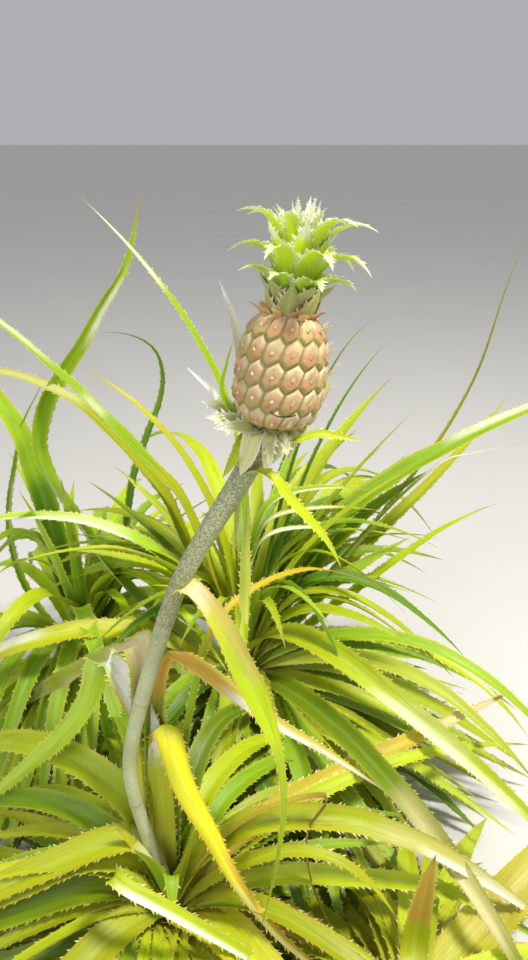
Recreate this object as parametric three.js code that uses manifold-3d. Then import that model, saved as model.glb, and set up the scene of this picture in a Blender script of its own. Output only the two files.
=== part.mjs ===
// Pineapple plant: a clump of four leaf rosettes from one root, with one small fruit on a long bent stalk.
// Units are millimetres, +Z is up. The origin is the middle of the flat cut under the main stem.
// +X runs to the right of the photograph and +Y away from the camera.
import * as THREE from 'three';
import Module from 'manifold-3d';

const wasm = await Module();
wasm.setup();

// Clearance between pieces that touch on the real plant.
const GAP = 0.3;

// Main stem: short, thick, flared where it stands on the ground and leaning slightly to the left.
const STEM_HEIGHT = 138;
const STEM_LEAN = -4;
const STEM_FOOT_RADIUS = 38;
const STEM_RADIUS = 26;
const STEM_TOP_RADIUS = 13;

// Stalk of the fruit: the places that its middle line passes between the heart and the fruit.
const STALK_BENDS = [
  [-25, 0, 217],
  [-38, 2, 305],
  [-34, 3, 345],
  [-6, 4, 451],
  [24, 5, 540],
  [50, 8, 590],
  [80, 11, 640],
  [101, 13, 676],
];
const STALK_FOOT_RADIUS = 7.5;
const STALK_TOP_RADIUS = 11.5;

// Fruit: a small barrel covered with spiral rows of eyes, leaning to the right and slightly away.
const FRUIT_BASE = [114, 14, 701];
const FRUIT_LEAN = [0.14, 0.1, 1];
const FRUIT_HEIGHT = 99;
const FRUIT_RADIUS = 37.5;
const FRUIT_ROUNDNESS = 3;
const FRUIT_END = 0.985;
const FRUIT_TAPER = 0.05;
const EYE_ROWS = 7;
const EYES_IN_ROW = 12;
const EYE_RISE = 4.5;
const EYE_TWIST = 22;

// Crown of short leaves on the fruit: the leaves stand in a spiral on a tapering core.
const GOLDEN_ANGLE = 137.508;
const CROWN_COUNT = 24;
const CROWN_CORE_HEIGHT = 32;
const CROWN_CORE_RADIUS = 13;
const CROWN_CORE_TOP_RADIUS = 5;
const CROWN_LEAF_LENGTH = 74;
const CROWN_LEAF_WIDTH = 30;
const CROWN_LEAF_THICKNESS = 1.6;
const CROWN_SHORTEST = 0.36;
const CROWN_TOP_LOSS = 0.25;
const CROWN_STEEPEST = 84;
const CROWN_FLATTEST = 57;
const CROWN_DROOP = 66;
const CROWN_ROOT_DEPTH = 2.5;

// Collar under the fruit that carries its bracts.
const COLLAR_RADIUS = 16.5;
const COLLAR_HEIGHT = 9;
const BRACT_THICKNESS = 1.8;
const BRACT_STEP = 30;

// Blades: a leaf is a shallow channel in section, and slightly over a hundredth of its length thick.
const BLADE_THICKNESS = 0.0105;
const CHANNEL_DEPTH = 0.2;
const TIP_WIDTH = 3;
const SUNK = 5;
const STEP_LENGTH = 72;

// A leaf of a fan that would lose more than this share to the leaves before it is left out.
const LARGEST_LOSS = 0.15;
const LEAVES_IN_WHORL = 4;
const COLLAR_WALL = 5;
const COLLAR_SIDES = 12;

// Shortest edge that is left where pieces have been cut.
const SHORTEST_EDGE = 0.08;

// Bracts at the foot of the fruit: azimuth, reach and height over the fruit's base.
const BRACTS = [
  { at: [[175, 52, 34], [178, 54, 84], [180, 70, 119]], width: 12 },
  { at: [[193, 54, 19], [190, 49, 65]], width: 10 },
  { at: [[168, 58, 14], [175, 87, 41]], width: 14 },
  { at: [[208, 50, -4], [200, 76, 10]], width: 15 },
  { at: [[230, 42, -8], [222, 72, -5]], width: 15 },
  { at: [[148, 46, 0], [156, 72, 17]], width: 14 },
  { at: [[-15, 30, -13], [-10, 64, -22]], width: 11 },
  { at: [[-112, 24, -20], [-125, 29, -42]], width: 12 },
  { at: [[60, 34, -4], [58, 58, 8]], width: 12 },
  { at: [[110, 34, -2], [112, 60, 14]], width: 12 },
];

// Leaves of the stalk itself, from a node beside it to the tip, as places in the plant's frame.
const STALK_LEAVES = [
  {
    name: 'stalk_leaf_long', width: 26, bend: 1,
    at: [
      [33, 0, 530], [44, -4, 536], [78, -6, 469], [105, -8, 375],
      [125, -8, 260], [124, -8, 185], [105, -8, 72],
    ],
  },
  { name: 'stalk_leaf_short', width: 12, at: [[74, 0, 643], [64, -10, 664], [62, -13, 690]] },
  {
    name: 'stalk_leaf_yellow', width: 10,
    at: [[84, 4, 640], [104, -14, 650], [122, -18, 634], [143, -22, 588], [156, -22, 545]],
  },
];

// Sideways direction of the stalk's own leaves.
const STALK_LEAF_ACROSS = [0.3, 1, 0];

// Colours seen in the photograph.
const COLOURS = {
  stem: 0x8a7d5a,
  stalk: 0xa3ac92,
  fruit: 0xd9b68c,
  crown: 0x9cc46e,
  bract: 0xb9c59a,
  sunlit: 0xb2cc2e,
  green: 0x7fae3a,
  yellow: 0xe2cf2c,
};

// Leaves whose place the photograph shows. `at` holds the places that a leaf's middle line passes,
// the last one its tip: azimuth from the rosette's heart in degrees, reach and height over the ground.
// `bend` counts to the place where a leaf is parted into a lower and an upper piece.
const MOTHER_LEAVES = [
  { at: [[190, 70, 148], [190, 195, 130], [190, 430, 40]], width: 43 },
  { at: [[222, 80, 134], [220, 330, 30]], width: 40 },
  { at: [[-42, 100, 126], [-45, 320, 30]], width: 50 },
  { at: [[-15, 100, 136], [-15, 300, 15]], width: 34 },
  { at: [[-5, 110, 160], [-5, 220, 172], [-5, 325, 158], [-5, 460, 60]], width: 22 },
  { at: [[5, 165, 228], [5, 340, 160], [8, 480, 30]], width: 32, bend: 1 },
  { at: [[218, 36, 203], [210, 68, 206], [194, 195, 150], [190, 380, 40]], width: 32, bend: 2 },
  { at: [[150, 165, 250], [152, 430, 110]], width: 34, bend: 1 },
  { at: [[20, 160, 222], [20, 270, 250], [20, 440, 285]], width: 24 },
  {
    at: [[95, 20, 330], [60, 14, 364], [-28, 22, 310], [-30, 65, 187], [-30, 167, 132], [-30, 300, 90]],
    width: 28, bend: 2,
  },
  {
    at: [[150, 48, 385], [157, 70, 422], [170, 86, 398], [180, 122, 354], [184, 400, 90]],
    width: 30, bend: 2,
  },
  {
    at: [[118, 48, 300], [124, 40, 415], [127, 58, 434], [128, 115, 398], [128, 440, 130]],
    width: 24, bend: 3,
  },
  { at: [[62, 24, 425], [10, 28, 460], [5, 68, 415], [4, 200, 312], [5, 252, 262]], width: 16, bend: 2 },
  { at: [[45, 70, 462], [42, 140, 490], [40, 284, 440], [42, 400, 300]], width: 14, bend: 2 },
  { at: [[200, 64, 182], [216, 62, 178], [-45, 120, 104], [-20, 240, 15]], width: 24, bend: 1 },
];
const BACK_LEAVES = [
  { at: [[-30, 97, 245], [-30, 313, 165], [-30, 520, 30]], width: 42 },
  { at: [[-50, 148, 188], [-50, 335, 155], [-50, 530, 25]], width: 44 },
  { at: [[-10, 150, 250], [-8, 310, 226], [-8, 443, 90]], width: 30 },
  { at: [[200, 200, 292], [200, 349, 298], [200, 540, 200]], width: 26 },
  { at: [[190, 123, 383], [190, 250, 452], [190, 420, 440]], width: 28 },
  { at: [[178, 170, 300], [178, 237, 436], [178, 278, 540], [178, 219, 661], [178, 122, 855]], width: 38 },
  { at: [[15, 124, 353], [15, 283, 469]], width: 36 },
  { at: [[8, 146, 420], [8, 300, 525], [8, 560, 620]], width: 38 },
  { at: [[165, 105, 485], [165, 245, 605], [165, 370, 700], [165, 520, 775]], width: 42 },
  { at: [[180, 134, 509], [180, 270, 634], [180, 500, 640]], width: 30 },
  { at: [[180, 71, 506], [175, 215, 645]], width: 20 },
  { at: [[190, 10, 562], [190, 73, 719], [190, 187, 865]], width: 14 },
  { at: [[20, 134, 641], [20, 203, 702]], width: 14 },
  { at: [[20, 132, 557], [20, 221, 670]], width: 14 },
];
const LEFT_LEAVES = [
  { at: [[170, 33, 300], [170, 60, 472], [170, 150, 690]], width: 38 },
  { at: [[20, 85, 350], [20, 123, 511], [20, 155, 612], [20, 105, 667], [20, 64, 671]], width: 14 },
];
const RIGHT_LEAVES = [
  { at: [[33, 60, 165], [33, 160, 215], [33, 330, 225], [33, 480, 150]], width: 56 },
];

// Leaves that the photograph hides or shows only as a mass: sets spread evenly between two azimuths.
const MOTHER_FANS = [
  { from: 240, to: 312, count: 4, crest: [110, 122], tip: [400, 20], width: 42, seed: 1 },
  { from: 75, to: 112, count: 2, crest: [130, 250], tip: [330, 110], width: 32, seed: 2 },
  { from: 166, to: 206, count: 2, crest: [110, 88], tip: [380, 25], width: 36, seed: 3 },
];
const BACK_FANS = [
  { from: 34, to: 108, count: 4, crest: [170, 420], tip: [430, 330], width: 34, seed: 4 },
  { from: -68, to: 8, count: 2, crest: [130, 165], tip: [380, 60], width: 32, seed: 5 },
  { from: 215, to: 290, count: 3, crest: [110, 200], tip: [230, 120], width: 28, seed: 7 },
];
const LEFT_FANS = [
  { from: 195, to: 325, count: 4, crest: [120, 240], tip: [330, 90], width: 34, seed: 8 },
  { from: 45, to: 150, count: 3, crest: [140, 290], tip: [330, 200], width: 34, seed: 9 },
  { from: 110, to: 290, count: 2, crest: [70, 380], tip: [170, 500], width: 26, seed: 10 },
];
const RIGHT_FANS = [
  { from: -75, to: 8, count: 4, crest: [130, 170], tip: [330, 50], width: 40, seed: 11 },
  { from: 75, to: 105, count: 2, crest: [110, 190], tip: [240, 90], width: 30, seed: 12 },
  { from: 215, to: 265, count: 2, crest: [130, 130], tip: [300, 40], width: 36, seed: 13 },
];

// Rosettes: the heart's place, the height of the lowest and highest leaf root and the stem's
// radius there. A side rosette's stem runs from its parent's stem through `stem` to its heart.
const ROSETTES = [
  {
    name: 'mother', heart: [STEM_LEAN, 0], roots: [50, 134], radius: 18,
    leaves: MOTHER_LEAVES, fans: MOTHER_FANS,
  },
  {
    name: 'back', heart: [76, 364], roots: [118, 205], radius: 17,
    stem: [[5, 16, 36], [25, 95, 22], [55, 240, 24], [73, 345, 60]],
    leaves: BACK_LEAVES, fans: BACK_FANS,
  },
  {
    name: 'left', heart: [-190, 440], roots: [88, 180], radius: 16,
    stem: [[50, 215, 26], [-40, 310, 22], [-140, 405, 28], [-183, 438, 50]],
    leaves: LEFT_LEAVES, fans: LEFT_FANS,
  },
  {
    name: 'right', heart: [262, -112], roots: [64, 122], radius: 16,
    stem: [[18, -8, 34], [110, -60, 20], [210, -103, 22], [256, -112, 40]],
    leaves: RIGHT_LEAVES, fans: RIGHT_FANS,
  },
];

const radians = THREE.MathUtils.degToRad;

function vector([x, y, z]) {
  return new THREE.Vector3(x, y, z);
}

function level(azimuth) {
  return new THREE.Vector3(Math.cos(radians(azimuth)), Math.sin(radians(azimuth)), 0);
}

// A repeatable number between 0 and 1 for each pair of whole numbers.
function scatter(first, second) {
  const wave = Math.sin(first * 127.1 + second * 311.7) * 43758.5453;
  return wave - Math.floor(wave);
}

function smooth(value) {
  const t = Math.min(1, Math.max(0, value));
  return t * t * (3 - 2 * t);
}

// Closed solid from rings of points: neighbouring rings are joined and each end is capped by a fan
// from the corner `hub`. Where `crossed` says so, a square of the grid is parted the other way.
function solidFromRings(rings, hub, crossed = () => false) {
  const count = rings[0].length;
  const corners = rings.flat().flatMap((point) => point.toArray());
  const faces = [];
  for (let ring = 0; ring + 1 < rings.length; ring += 1) {
    for (let corner = 0; corner < count; corner += 1) {
      const here = ring * count + corner;
      const next = ring * count + ((corner + 1) % count);
      if (crossed(ring, corner)) {
        faces.push(here, next, here + count);
        faces.push(next, next + count, here + count);
      } else {
        faces.push(here, next, next + count);
        faces.push(here, next + count, here + count);
      }
    }
  }
  const last = (rings.length - 1) * count;
  for (let step = 1; step + 1 < count; step += 1) {
    const near = (hub + step) % count;
    const far = (hub + step + 1) % count;
    faces.push(hub, far, near);
    faces.push(last + hub, last + near, last + far);
  }
  return solidFromFaces(corners, faces);
}

function solidFromFaces(corners, faces) {
  const mesh = new wasm.Mesh({
    numProp: 3,
    vertProperties: new Float32Array(corners),
    triVerts: new Uint32Array(faces),
  });
  return new wasm.Manifold(mesh);
}

// Solid turned round the upright axis from pairs of radius and height, flat at both ends.
function turnedSolid(profile, sides) {
  const rings = profile.map(([radius, height]) => {
    const ring = [];
    for (let side = 0; side < sides; side += 1) {
      ring.push(level((360 * side) / sides).multiplyScalar(radius).setZ(height));
    }
    return ring;
  });
  return solidFromRings(rings, 0);
}

function union(solids) {
  return solids.reduce((whole, solid) => whole.add(solid));
}

function biggestPiece(solid) {
  return solid.decompose().reduce((big, piece) => (piece.volume() > big.volume() ? piece : big));
}

// Faces of a mesh after each edge shorter than SHORTEST_EDGE has been drawn together to one corner.
function weldedFaces({ vertProperties, triVerts }) {
  const into = Array.from({ length: vertProperties.length / 3 }, (_, corner) => corner);
  const corner = (index) => (into[index] === index ? index : corner(into[index]));
  const place = (index) => new THREE.Vector3().fromArray(vertProperties, 3 * index);
  const faces = [];
  for (let face = 0; face < triVerts.length; face += 3) {
    faces.push([...triVerts.subarray(face, face + 3)]);
  }
  for (const face of faces) {
    for (let side = 0; side < 3; side += 1) {
      const one = corner(face[side]);
      const other = corner(face[(side + 1) % 3]);
      if (place(one).distanceTo(place(other)) < SHORTEST_EDGE) {
        into[Math.max(one, other)] = Math.min(one, other);
      }
    }
  }
  return faces.map((face) => face.map(corner)).filter((face) => new Set(face).size === 3);
}

function makeMesh(name, solid, colour) {
  const result = solid.getMesh();
  const geometry = new THREE.BufferGeometry();
  geometry.setAttribute('position', new THREE.BufferAttribute(result.vertProperties, 3));
  geometry.setIndex(weldedFaces(result).flat());
  geometry.computeVertexNormals();
  const material = new THREE.MeshStandardMaterial({
    color: COLOURS[colour],
    roughness: colour === 'stem' ? 0.9 : 0.55,
    metalness: 0,
  });
  const mesh = new THREE.Mesh(geometry, material);
  mesh.name = name;
  return mesh;
}

// Smooth line through points: a Hermite cubic between neighbours. Its knots are spaced by the square
// root of the distance, and the slope at a point is worked out from the three points around it.
function smoothLine(points) {
  const knots = [0];
  for (let i = 1; i < points.length; i += 1) {
    knots.push(knots[i - 1] + Math.sqrt(points[i].distanceTo(points[i - 1])));
  }
  const chord = (i, j) => points[j].clone().sub(points[i]).divideScalar(knots[j] - knots[i]);
  const last = points.length - 1;
  const slopes = points.map((point, i) => {
    if (i === 0 || i === last) return null;
    return chord(i - 1, i).sub(chord(i - 1, i + 1)).add(chord(i, i + 1));
  });
  slopes[0] = chord(0, 1).multiplyScalar(2).sub(slopes[1] ?? chord(0, 1));
  slopes[last] = chord(last - 1, last).multiplyScalar(2).sub(slopes[last - 1]);
  return (i, share) => {
    const span = knots[i + 1] - knots[i];
    const square = share ** 2;
    const cube = share ** 3;
    return points[i].clone().multiplyScalar(2 * cube - 3 * square + 1)
      .addScaledVector(slopes[i], span * (cube - 2 * square + share))
      .addScaledVector(points[i + 1], 3 * square - 2 * cube)
      .addScaledVector(slopes[i + 1], span * (cube - square));
  };
}

// Round limb through points. Its radius is a function of the share of its length, and `first` and
// `last` are the directions that its two flat ends face along.
function limbSolid(points, radiusAt, { sides, steps, first, last, extra = 0 }) {
  const curve = new THREE.CatmullRomCurve3(points, false, 'centripetal');
  const rings = [];
  for (let step = 0; step <= steps; step += 1) {
    const share = step / steps;
    const middle = curve.getPointAt(share);
    const tangent = curve.getTangentAt(share).normalize();
    if (step === 0 && first) tangent.copy(first);
    if (step === steps && last) tangent.copy(last);
    const across = level(90).cross(tangent).normalize();
    const up = tangent.clone().cross(across);
    middle.addScaledVector(tangent, (step === 0 ? -extra : 0) + (step === steps ? extra : 0));
    const radius = radiusAt(share) + extra;
    const ring = [];
    for (let side = 0; side < sides; side += 1) {
      const angle = (2 * Math.PI * side) / sides;
      const corner = middle.clone().addScaledVector(across, radius * Math.cos(angle));
      ring.push(corner.addScaledVector(up, radius * Math.sin(angle)));
    }
    rings.push(ring);
  }
  return solidFromRings(rings, 0);
}

// Widths along a blade, as shares of its full width: a long leaf, and a short broad one.
function longOutline(share) {
  return (0.5 + 0.5 * smooth(share / 0.2)) * (1 - share ** 2.8);
}

function shortOutline(share) {
  return (0.62 + 0.38 * smooth(share / 0.35)) * (1 - share ** 1.9);
}

// Stations along a blade: place, direction, sideways direction, width and thickness. `across` is the
// blade's sideways direction before it is laid square to the line.
function bladeStations(points, across, width, outline, stepLength, thickness) {
  const line = smoothLine(points);
  const stations = [{ middle: points[0].clone() }];
  for (let i = 0; i + 1 < points.length; i += 1) {
    const steps = Math.max(1, Math.round(points[i].distanceTo(points[i + 1]) / stepLength));
    for (let step = 1; step <= steps; step += 1) {
      stations.push({ middle: line(i, step / steps), place: step === steps ? i + 1 : null });
    }
  }
  let length = 0;
  stations.forEach((station, index) => {
    if (index > 0) length += station.middle.distanceTo(stations[index - 1].middle);
    station.along = length;
  });
  stations.forEach((station, index) => {
    const before = stations[Math.max(0, index - 1)].middle;
    const after = stations[Math.min(stations.length - 1, index + 1)].middle;
    const share = station.along / length;
    station.tangent = after.clone().sub(before).normalize();
    station.side = across.clone().addScaledVector(station.tangent, -across.dot(station.tangent)).normalize();
    station.width = Math.max(TIP_WIDTH, width * outline(share));
    station.thickness = Math.max(TIP_WIDTH / 2, thickness(length) * (1 - 0.6 * share ** 3));
  });
  return stations;
}

// Closed blade over a run of stations, in section a shallow channel with sharp edges.
function bladeSolid(stations) {
  const rings = stations.map(({ middle, tangent, side, width, thickness }) => {
    const upper = side.clone().cross(tangent).normalize();
    const edge = upper.clone().multiplyScalar(width * CHANNEL_DEPTH);
    return [
      middle.clone().addScaledVector(side, -width / 2).add(edge),
      middle.clone(),
      middle.clone().addScaledVector(side, width / 2).add(edge),
      middle.clone().addScaledVector(upper, -thickness),
    ];
  });
  return solidFromRings(rings, 1);
}

// Sleeve over a blade: the same channel, grown by the gap all round and at both ends.
function bladeSleeve(stations) {
  const rings = stations.map(({ middle, tangent, side, width, thickness }, index) => {
    const upper = side.clone().cross(tangent).normalize();
    const half = width / 2 + GAP;
    const rise = width * CHANNEL_DEPTH;
    const beyond = (index === 0 ? -GAP : 0) + (index === stations.length - 1 ? GAP : 0);
    const centre = middle.clone().addScaledVector(tangent, beyond);
    const corner = (sideways, up) => centre.clone()
      .addScaledVector(side, sideways).addScaledVector(upper, up);
    return [
      corner(-half, rise + 1.3 * GAP),
      corner(0, 1.1 * GAP),
      corner(half, rise + 1.3 * GAP),
      corner(half, rise - GAP),
      corner(0, -thickness - 1.2 * GAP),
      corner(-half, rise - GAP),
    ];
  });
  return solidFromRings(rings, 1);
}

// Pieces already in place, each grown by the gap, which every later piece is cut clear of.
const placed = [];

function boxesMeet(one, other) {
  return [0, 1, 2].every((axis) => one.min[axis] < other.max[axis] && other.min[axis] < one.max[axis]);
}

function cutClear(solid) {
  const box = solid.boundingBox();
  const near = placed.filter((sleeve) => boxesMeet(sleeve.boundingBox(), box));
  return biggestPiece(near.reduce((rest, sleeve) => rest.subtract(sleeve), solid));
}

// Leaves spread between two azimuths, each a little different from the next.
function fanLeaves({ from, to, count, crest, tip, width, seed }) {
  const leaves = [];
  for (let index = 0; index < count; index += 1) {
    const share = index / (count - 1);
    const azimuth = from + (to - from) * share + 10 * (scatter(index, seed) - 0.5);
    const size = 0.86 + 0.28 * scatter(index, seed + 1);
    const turn = 14 * (scatter(index, seed + 2) - 0.5);
    leaves.push({
      at: [
        [azimuth, crest[0] * size, crest[1] * (0.5 + 0.5 * size)],
        [azimuth + turn, tip[0] * size, tip[1]],
      ],
      width: width * size,
      optional: true,
    });
  }
  return leaves;
}

function placeOf(rosette, [azimuth, reach, height]) {
  const [x, y] = rosette.heart;
  return level(azimuth).multiplyScalar(reach).add(new THREE.Vector3(x, y, height));
}

// Every leaf of a rosette with its root height: the steeper a leaf rises, the higher it is rooted.
function rootedLeaves(rosette) {
  const [lowest, highest] = rosette.roots;
  const leaves = [...rosette.leaves, ...rosette.fans.flatMap(fanLeaves)];
  const steepness = ({ at: [[, reach, height]] }) => Math.atan2(height - lowest, reach);
  const order = [...leaves].sort((one, other) => steepness(one) - steepness(other));
  return leaves.map((leaf) => {
    const rank = (order.indexOf(leaf) + 0.5) / leaves.length;
    return { ...leaf, root: lowest + (highest - lowest) * rank };
  });
}

// A leaf's stations from its root, sunk in the stem, to its tip.
function leafStations(rosette, leaf) {
  const azimuth = leaf.at[0][0];
  const start = placeOf(rosette, [azimuth, rosette.radius - SUNK, leaf.root]);
  const points = [start, ...leaf.at.map((station) => placeOf(rosette, station))];
  const thickness = (length) => length * BLADE_THICKNESS;
  return bladeStations(points, level(azimuth - 90), leaf.width, longOutline, STEP_LENGTH, thickness);
}

const plant = new THREE.Group();

// Main stem with its flat cut at ground level.
function addMainStem() {
  const waist = [STEM_LEAN * 0.3, 0, STEM_HEIGHT * 0.35];
  const points = [[0, 0, 0], waist, [STEM_LEAN, 0, STEM_HEIGHT]].map(vector);
  const radiusAt = (share) => STEM_RADIUS + (STEM_FOOT_RADIUS - STEM_RADIUS) * Math.exp(-share * 7)
    - (STEM_RADIUS - STEM_TOP_RADIUS) * smooth((share - 0.25) / 0.75);
  const upright = vector([0, 0, 1]);
  const form = { sides: 16, steps: 6, first: upright, last: upright };
  plant.add(makeMesh('stem_main', limbSolid(points, radiusAt, form), 'stem'));
  placed.push(limbSolid(points, radiusAt, { ...form, extra: GAP }));
}

// Stalk from the top of the main stem to the underside of the fruit.
function addStalk() {
  const lean = vector(FRUIT_LEAN).normalize();
  const top = vector(FRUIT_BASE).addScaledVector(lean, -GAP);
  const points = [
    vector([STEM_LEAN, 0, STEM_HEIGHT + GAP]),
    ...STALK_BENDS.map(vector),
    top.clone().addScaledVector(lean, -18),
    top,
  ];
  const radiusAt = (share) => STALK_FOOT_RADIUS + (STALK_TOP_RADIUS - STALK_FOOT_RADIUS) * share ** 1.5;
  const form = { sides: 10, steps: 20, first: vector([0, 0, 1]), last: lean };
  plant.add(makeMesh('fruit_stalk', limbSolid(points, radiusAt, form), 'stalk'));
  placed.push(limbSolid(points, radiusAt, { ...form, extra: GAP }));
}

// Stem of a side rosette, from its parent's stem to its heart.
function addSideStem(rosette) {
  const [x, y] = rosette.heart;
  const [lowest, highest] = rosette.roots;
  const upright = [[x, y, lowest], [x, y, (lowest + highest) / 2], [x, y, highest]];
  const points = [...rosette.stem, ...upright].map(vector);
  const radiusAt = (share) => rosette.radius * (0.72 + 0.28 * smooth(share * 1.6));
  const form = { sides: 9, steps: 12, last: vector([0, 0, 1]) };
  plant.add(makeMesh(`${rosette.name}_stem`, cutClear(limbSolid(points, radiusAt, form)), 'stem'));
  placed.push(limbSolid(points, radiusAt, { ...form, extra: GAP }));
}

// Leaves of the mother rosette: one node each, or two where a leaf bends round a wide gap.
function addSingleLeaves(rosette) {
  rootedLeaves(rosette).forEach((leaf, index) => {
    const number = String(index + 1).padStart(2, '0');
    addLeaf(`${rosette.name}_leaf_${number}`, leafStations(rosette, leaf), leaf, 'sunlit');
  });
}

// One leaf as a node, or as a lower and an upper node where it is parted at its bend.
function addLeaf(name, stations, { bend, optional }, colour) {
  const split = stations.findIndex((station) => station.place === bend);
  const runs = bend ? [stations.slice(0, split + 1), stations.slice(split)] : [stations];
  const endings = bend ? ['_lower', '_upper'] : [''];
  runs.forEach((run, part) => {
    const whole = bladeSolid(run);
    const solid = cutClear(whole);
    if (optional && tooMuchLost(whole, solid)) return;
    plant.add(makeMesh(`${name}${endings[part]}`, solid, colour));
    placed.push(bladeSleeve(run));
  });
}

function tooMuchLost(whole, rest) {
  return rest.volume() < whole.volume() * (1 - LARGEST_LOSS);
}

// Leaves of a side rosette, fused in whorls: each whorl is a collar round the stem with its leaves.
function addWhorls(rosette) {
  const leaves = rootedLeaves(rosette).sort((one, other) => one.root - other.root);
  const [x, y] = rosette.heart;
  const [lowest, highest] = rosette.roots;
  const count = Math.ceil(leaves.length / LEAVES_IN_WHORL);
  const band = (highest - lowest) / count;
  const radius = rosette.radius + COLLAR_WALL;
  for (let whorl = 0; whorl < count; whorl += 1) {
    const members = leaves.slice(whorl * LEAVES_IN_WHORL, (whorl + 1) * LEAVES_IN_WHORL);
    const bottom = lowest + band * whorl;
    const top = bottom + band - GAP;
    const collar = [[radius, bottom], [radius, top]];
    const grown = [[radius + GAP, bottom - GAP], [radius + GAP, top + GAP]];
    const parts = [turnedSolid(collar, COLLAR_SIDES).translate([x, y, 0])];
    const sleeves = [turnedSolid(grown, COLLAR_SIDES).translate([x, y, 0])];
    for (const leaf of members) {
      const stations = leafStations(rosette, leaf);
      const whole = bladeSolid(stations);
      if (!leaf.optional || !tooMuchLost(whole, cutClear(whole))) {
        parts.push(whole);
        sleeves.push(bladeSleeve(stations));
      }
    }
    plant.add(makeMesh(`${rosette.name}_leaves_${whorl + 1}`, cutClear(union(parts)), 'green'));
    placed.push(...sleeves);
  }
}

// Fruit, crown and bracts: each is made upright over the fruit's base and then laid in its lean.
function addHead() {
  const turn = new THREE.Quaternion().setFromUnitVectors(vector([0, 0, 1]), vector(FRUIT_LEAN).normalize());
  const place = new THREE.Matrix4().compose(vector(FRUIT_BASE), turn, vector([1, 1, 1])).elements;
  const inPlace = (solid) => solid.transform(place);
  plant.add(makeMesh('fruit', inPlace(fruitSolid()), 'fruit'));
  placed.push(inPlace(fruitSolid(GAP)));
  plant.add(makeMesh('fruit_crown', inPlace(crownSolid()), 'crown'));
  const bracts = BRACTS.map(bractStations);
  const whole = union([turnedSolid(
    [[COLLAR_RADIUS - 2, -COLLAR_HEIGHT], [COLLAR_RADIUS, -COLLAR_HEIGHT / 2], [COLLAR_RADIUS, -GAP]],
    COLLAR_SIDES,
  ), ...bracts.map(bladeSolid)]);
  plant.add(makeMesh('fruit_bracts', cutClear(inPlace(whole)), 'bract'));
  placed.push(...bracts.map((stations) => inPlace(bladeSleeve(stations))));
}

// Fruit, or with `extra` the same shape grown by that much: a barrel with staggered rows of six-sided
// eyes. The middle of an eye is every second corner of every second ring, and the rings between
// rise and fall round the eyes.
function fruitSolid(extra = 0) {
  const rings = [];
  const steps = 2 * EYE_ROWS;
  const sides = 2 * EYES_IN_ROW;
  const isEye = (step, side) => step % 2 === 1 && (side + (step - 1) / 2) % 2 === 0;
  for (let step = 0; step <= steps; step += 1) {
    const end = step === 0 || step === steps;
    const ring = [];
    for (let side = 0; side < sides; side += 1) {
      const overEye = isEye(step - 1, side);
      const zigzag = end || step % 2 === 1 ? 0 : (overEye ? 1 : -1) / 3;
      const share = (2 * (step + zigzag)) / steps - 1;
      const round = (1 - Math.abs(FRUIT_END * share) ** FRUIT_ROUNDNESS) ** (1 / FRUIT_ROUNDNESS);
      const barrel = FRUIT_RADIUS * (1 - FRUIT_TAPER * share) * round;
      const radius = barrel + (isEye(step, side) ? EYE_RISE : 0) + extra;
      const azimuth = (360 * side) / sides + EYE_TWIST * share;
      const height = (FRUIT_HEIGHT * (1 + share)) / 2 + (end ? extra * Math.sign(share) : 0);
      ring.push(level(azimuth).multiplyScalar(radius).setZ(height));
    }
    rings.push(ring);
  }
  return solidFromRings(rings, 0, (step, side) => isEye(step, (side + 1) % sides) || isEye(step + 1, side));
}

// Crown: low leaves are short and lie against the neck, those half way up spread and bend down, and
// the last ones stand upright.
function crownSolid() {
  const bottom = FRUIT_HEIGHT + GAP;
  const top = bottom + CROWN_CORE_HEIGHT;
  const waist = bottom + CROWN_CORE_HEIGHT / 2;
  const core = turnedSolid([
    [CROWN_CORE_RADIUS, bottom],
    [CROWN_CORE_RADIUS, waist],
    [CROWN_CORE_TOP_RADIUS, top],
  ], 9);
  const leaves = [];
  for (let leaf = 0; leaf < CROWN_COUNT; leaf += 1) {
    const share = leaf / (CROWN_COUNT - 1);
    const azimuth = GOLDEN_ANGLE * leaf;
    const upright = smooth((share - 0.55) / 0.45);
    const grown = smooth((share + 0.04) / 0.32);
    const full = CROWN_LEAF_LENGTH * (1 - CROWN_TOP_LOSS * share ** 4);
    const length = full * (CROWN_SHORTEST + (1 - CROWN_SHORTEST) * grown);
    const rise = CROWN_FLATTEST + (CROWN_STEEPEST - CROWN_FLATTEST) * upright;
    const reach = CROWN_CORE_RADIUS + (CROWN_CORE_TOP_RADIUS - CROWN_CORE_RADIUS) * share - CROWN_ROOT_DEPTH;
    const root = bottom + CROWN_ROOT_DEPTH + (CROWN_CORE_HEIGHT - 2 * CROWN_ROOT_DEPTH) * share;
    const start = level(azimuth).multiplyScalar(reach).setZ(root);
    const middle = start.clone().addScaledVector(risingDirection(azimuth, rise), length / 2);
    const fall = rise - CROWN_DROOP * grown * (1 - upright);
    const tip = middle.clone().addScaledVector(risingDirection(azimuth, fall), length / 2);
    const width = CROWN_LEAF_WIDTH * (1 - 0.35 * share);
    const stations = bladeStations(
      [start, middle, tip], level(azimuth - 90), width, shortOutline, length / 3, () => CROWN_LEAF_THICKNESS,
    );
    leaves.push(bladeSolid(stations));
  }
  return biggestPiece(union([core, ...leaves]));
}

function risingDirection(azimuth, rise) {
  return level(azimuth).multiplyScalar(Math.cos(radians(rise))).setZ(Math.sin(radians(rise)));
}

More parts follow.
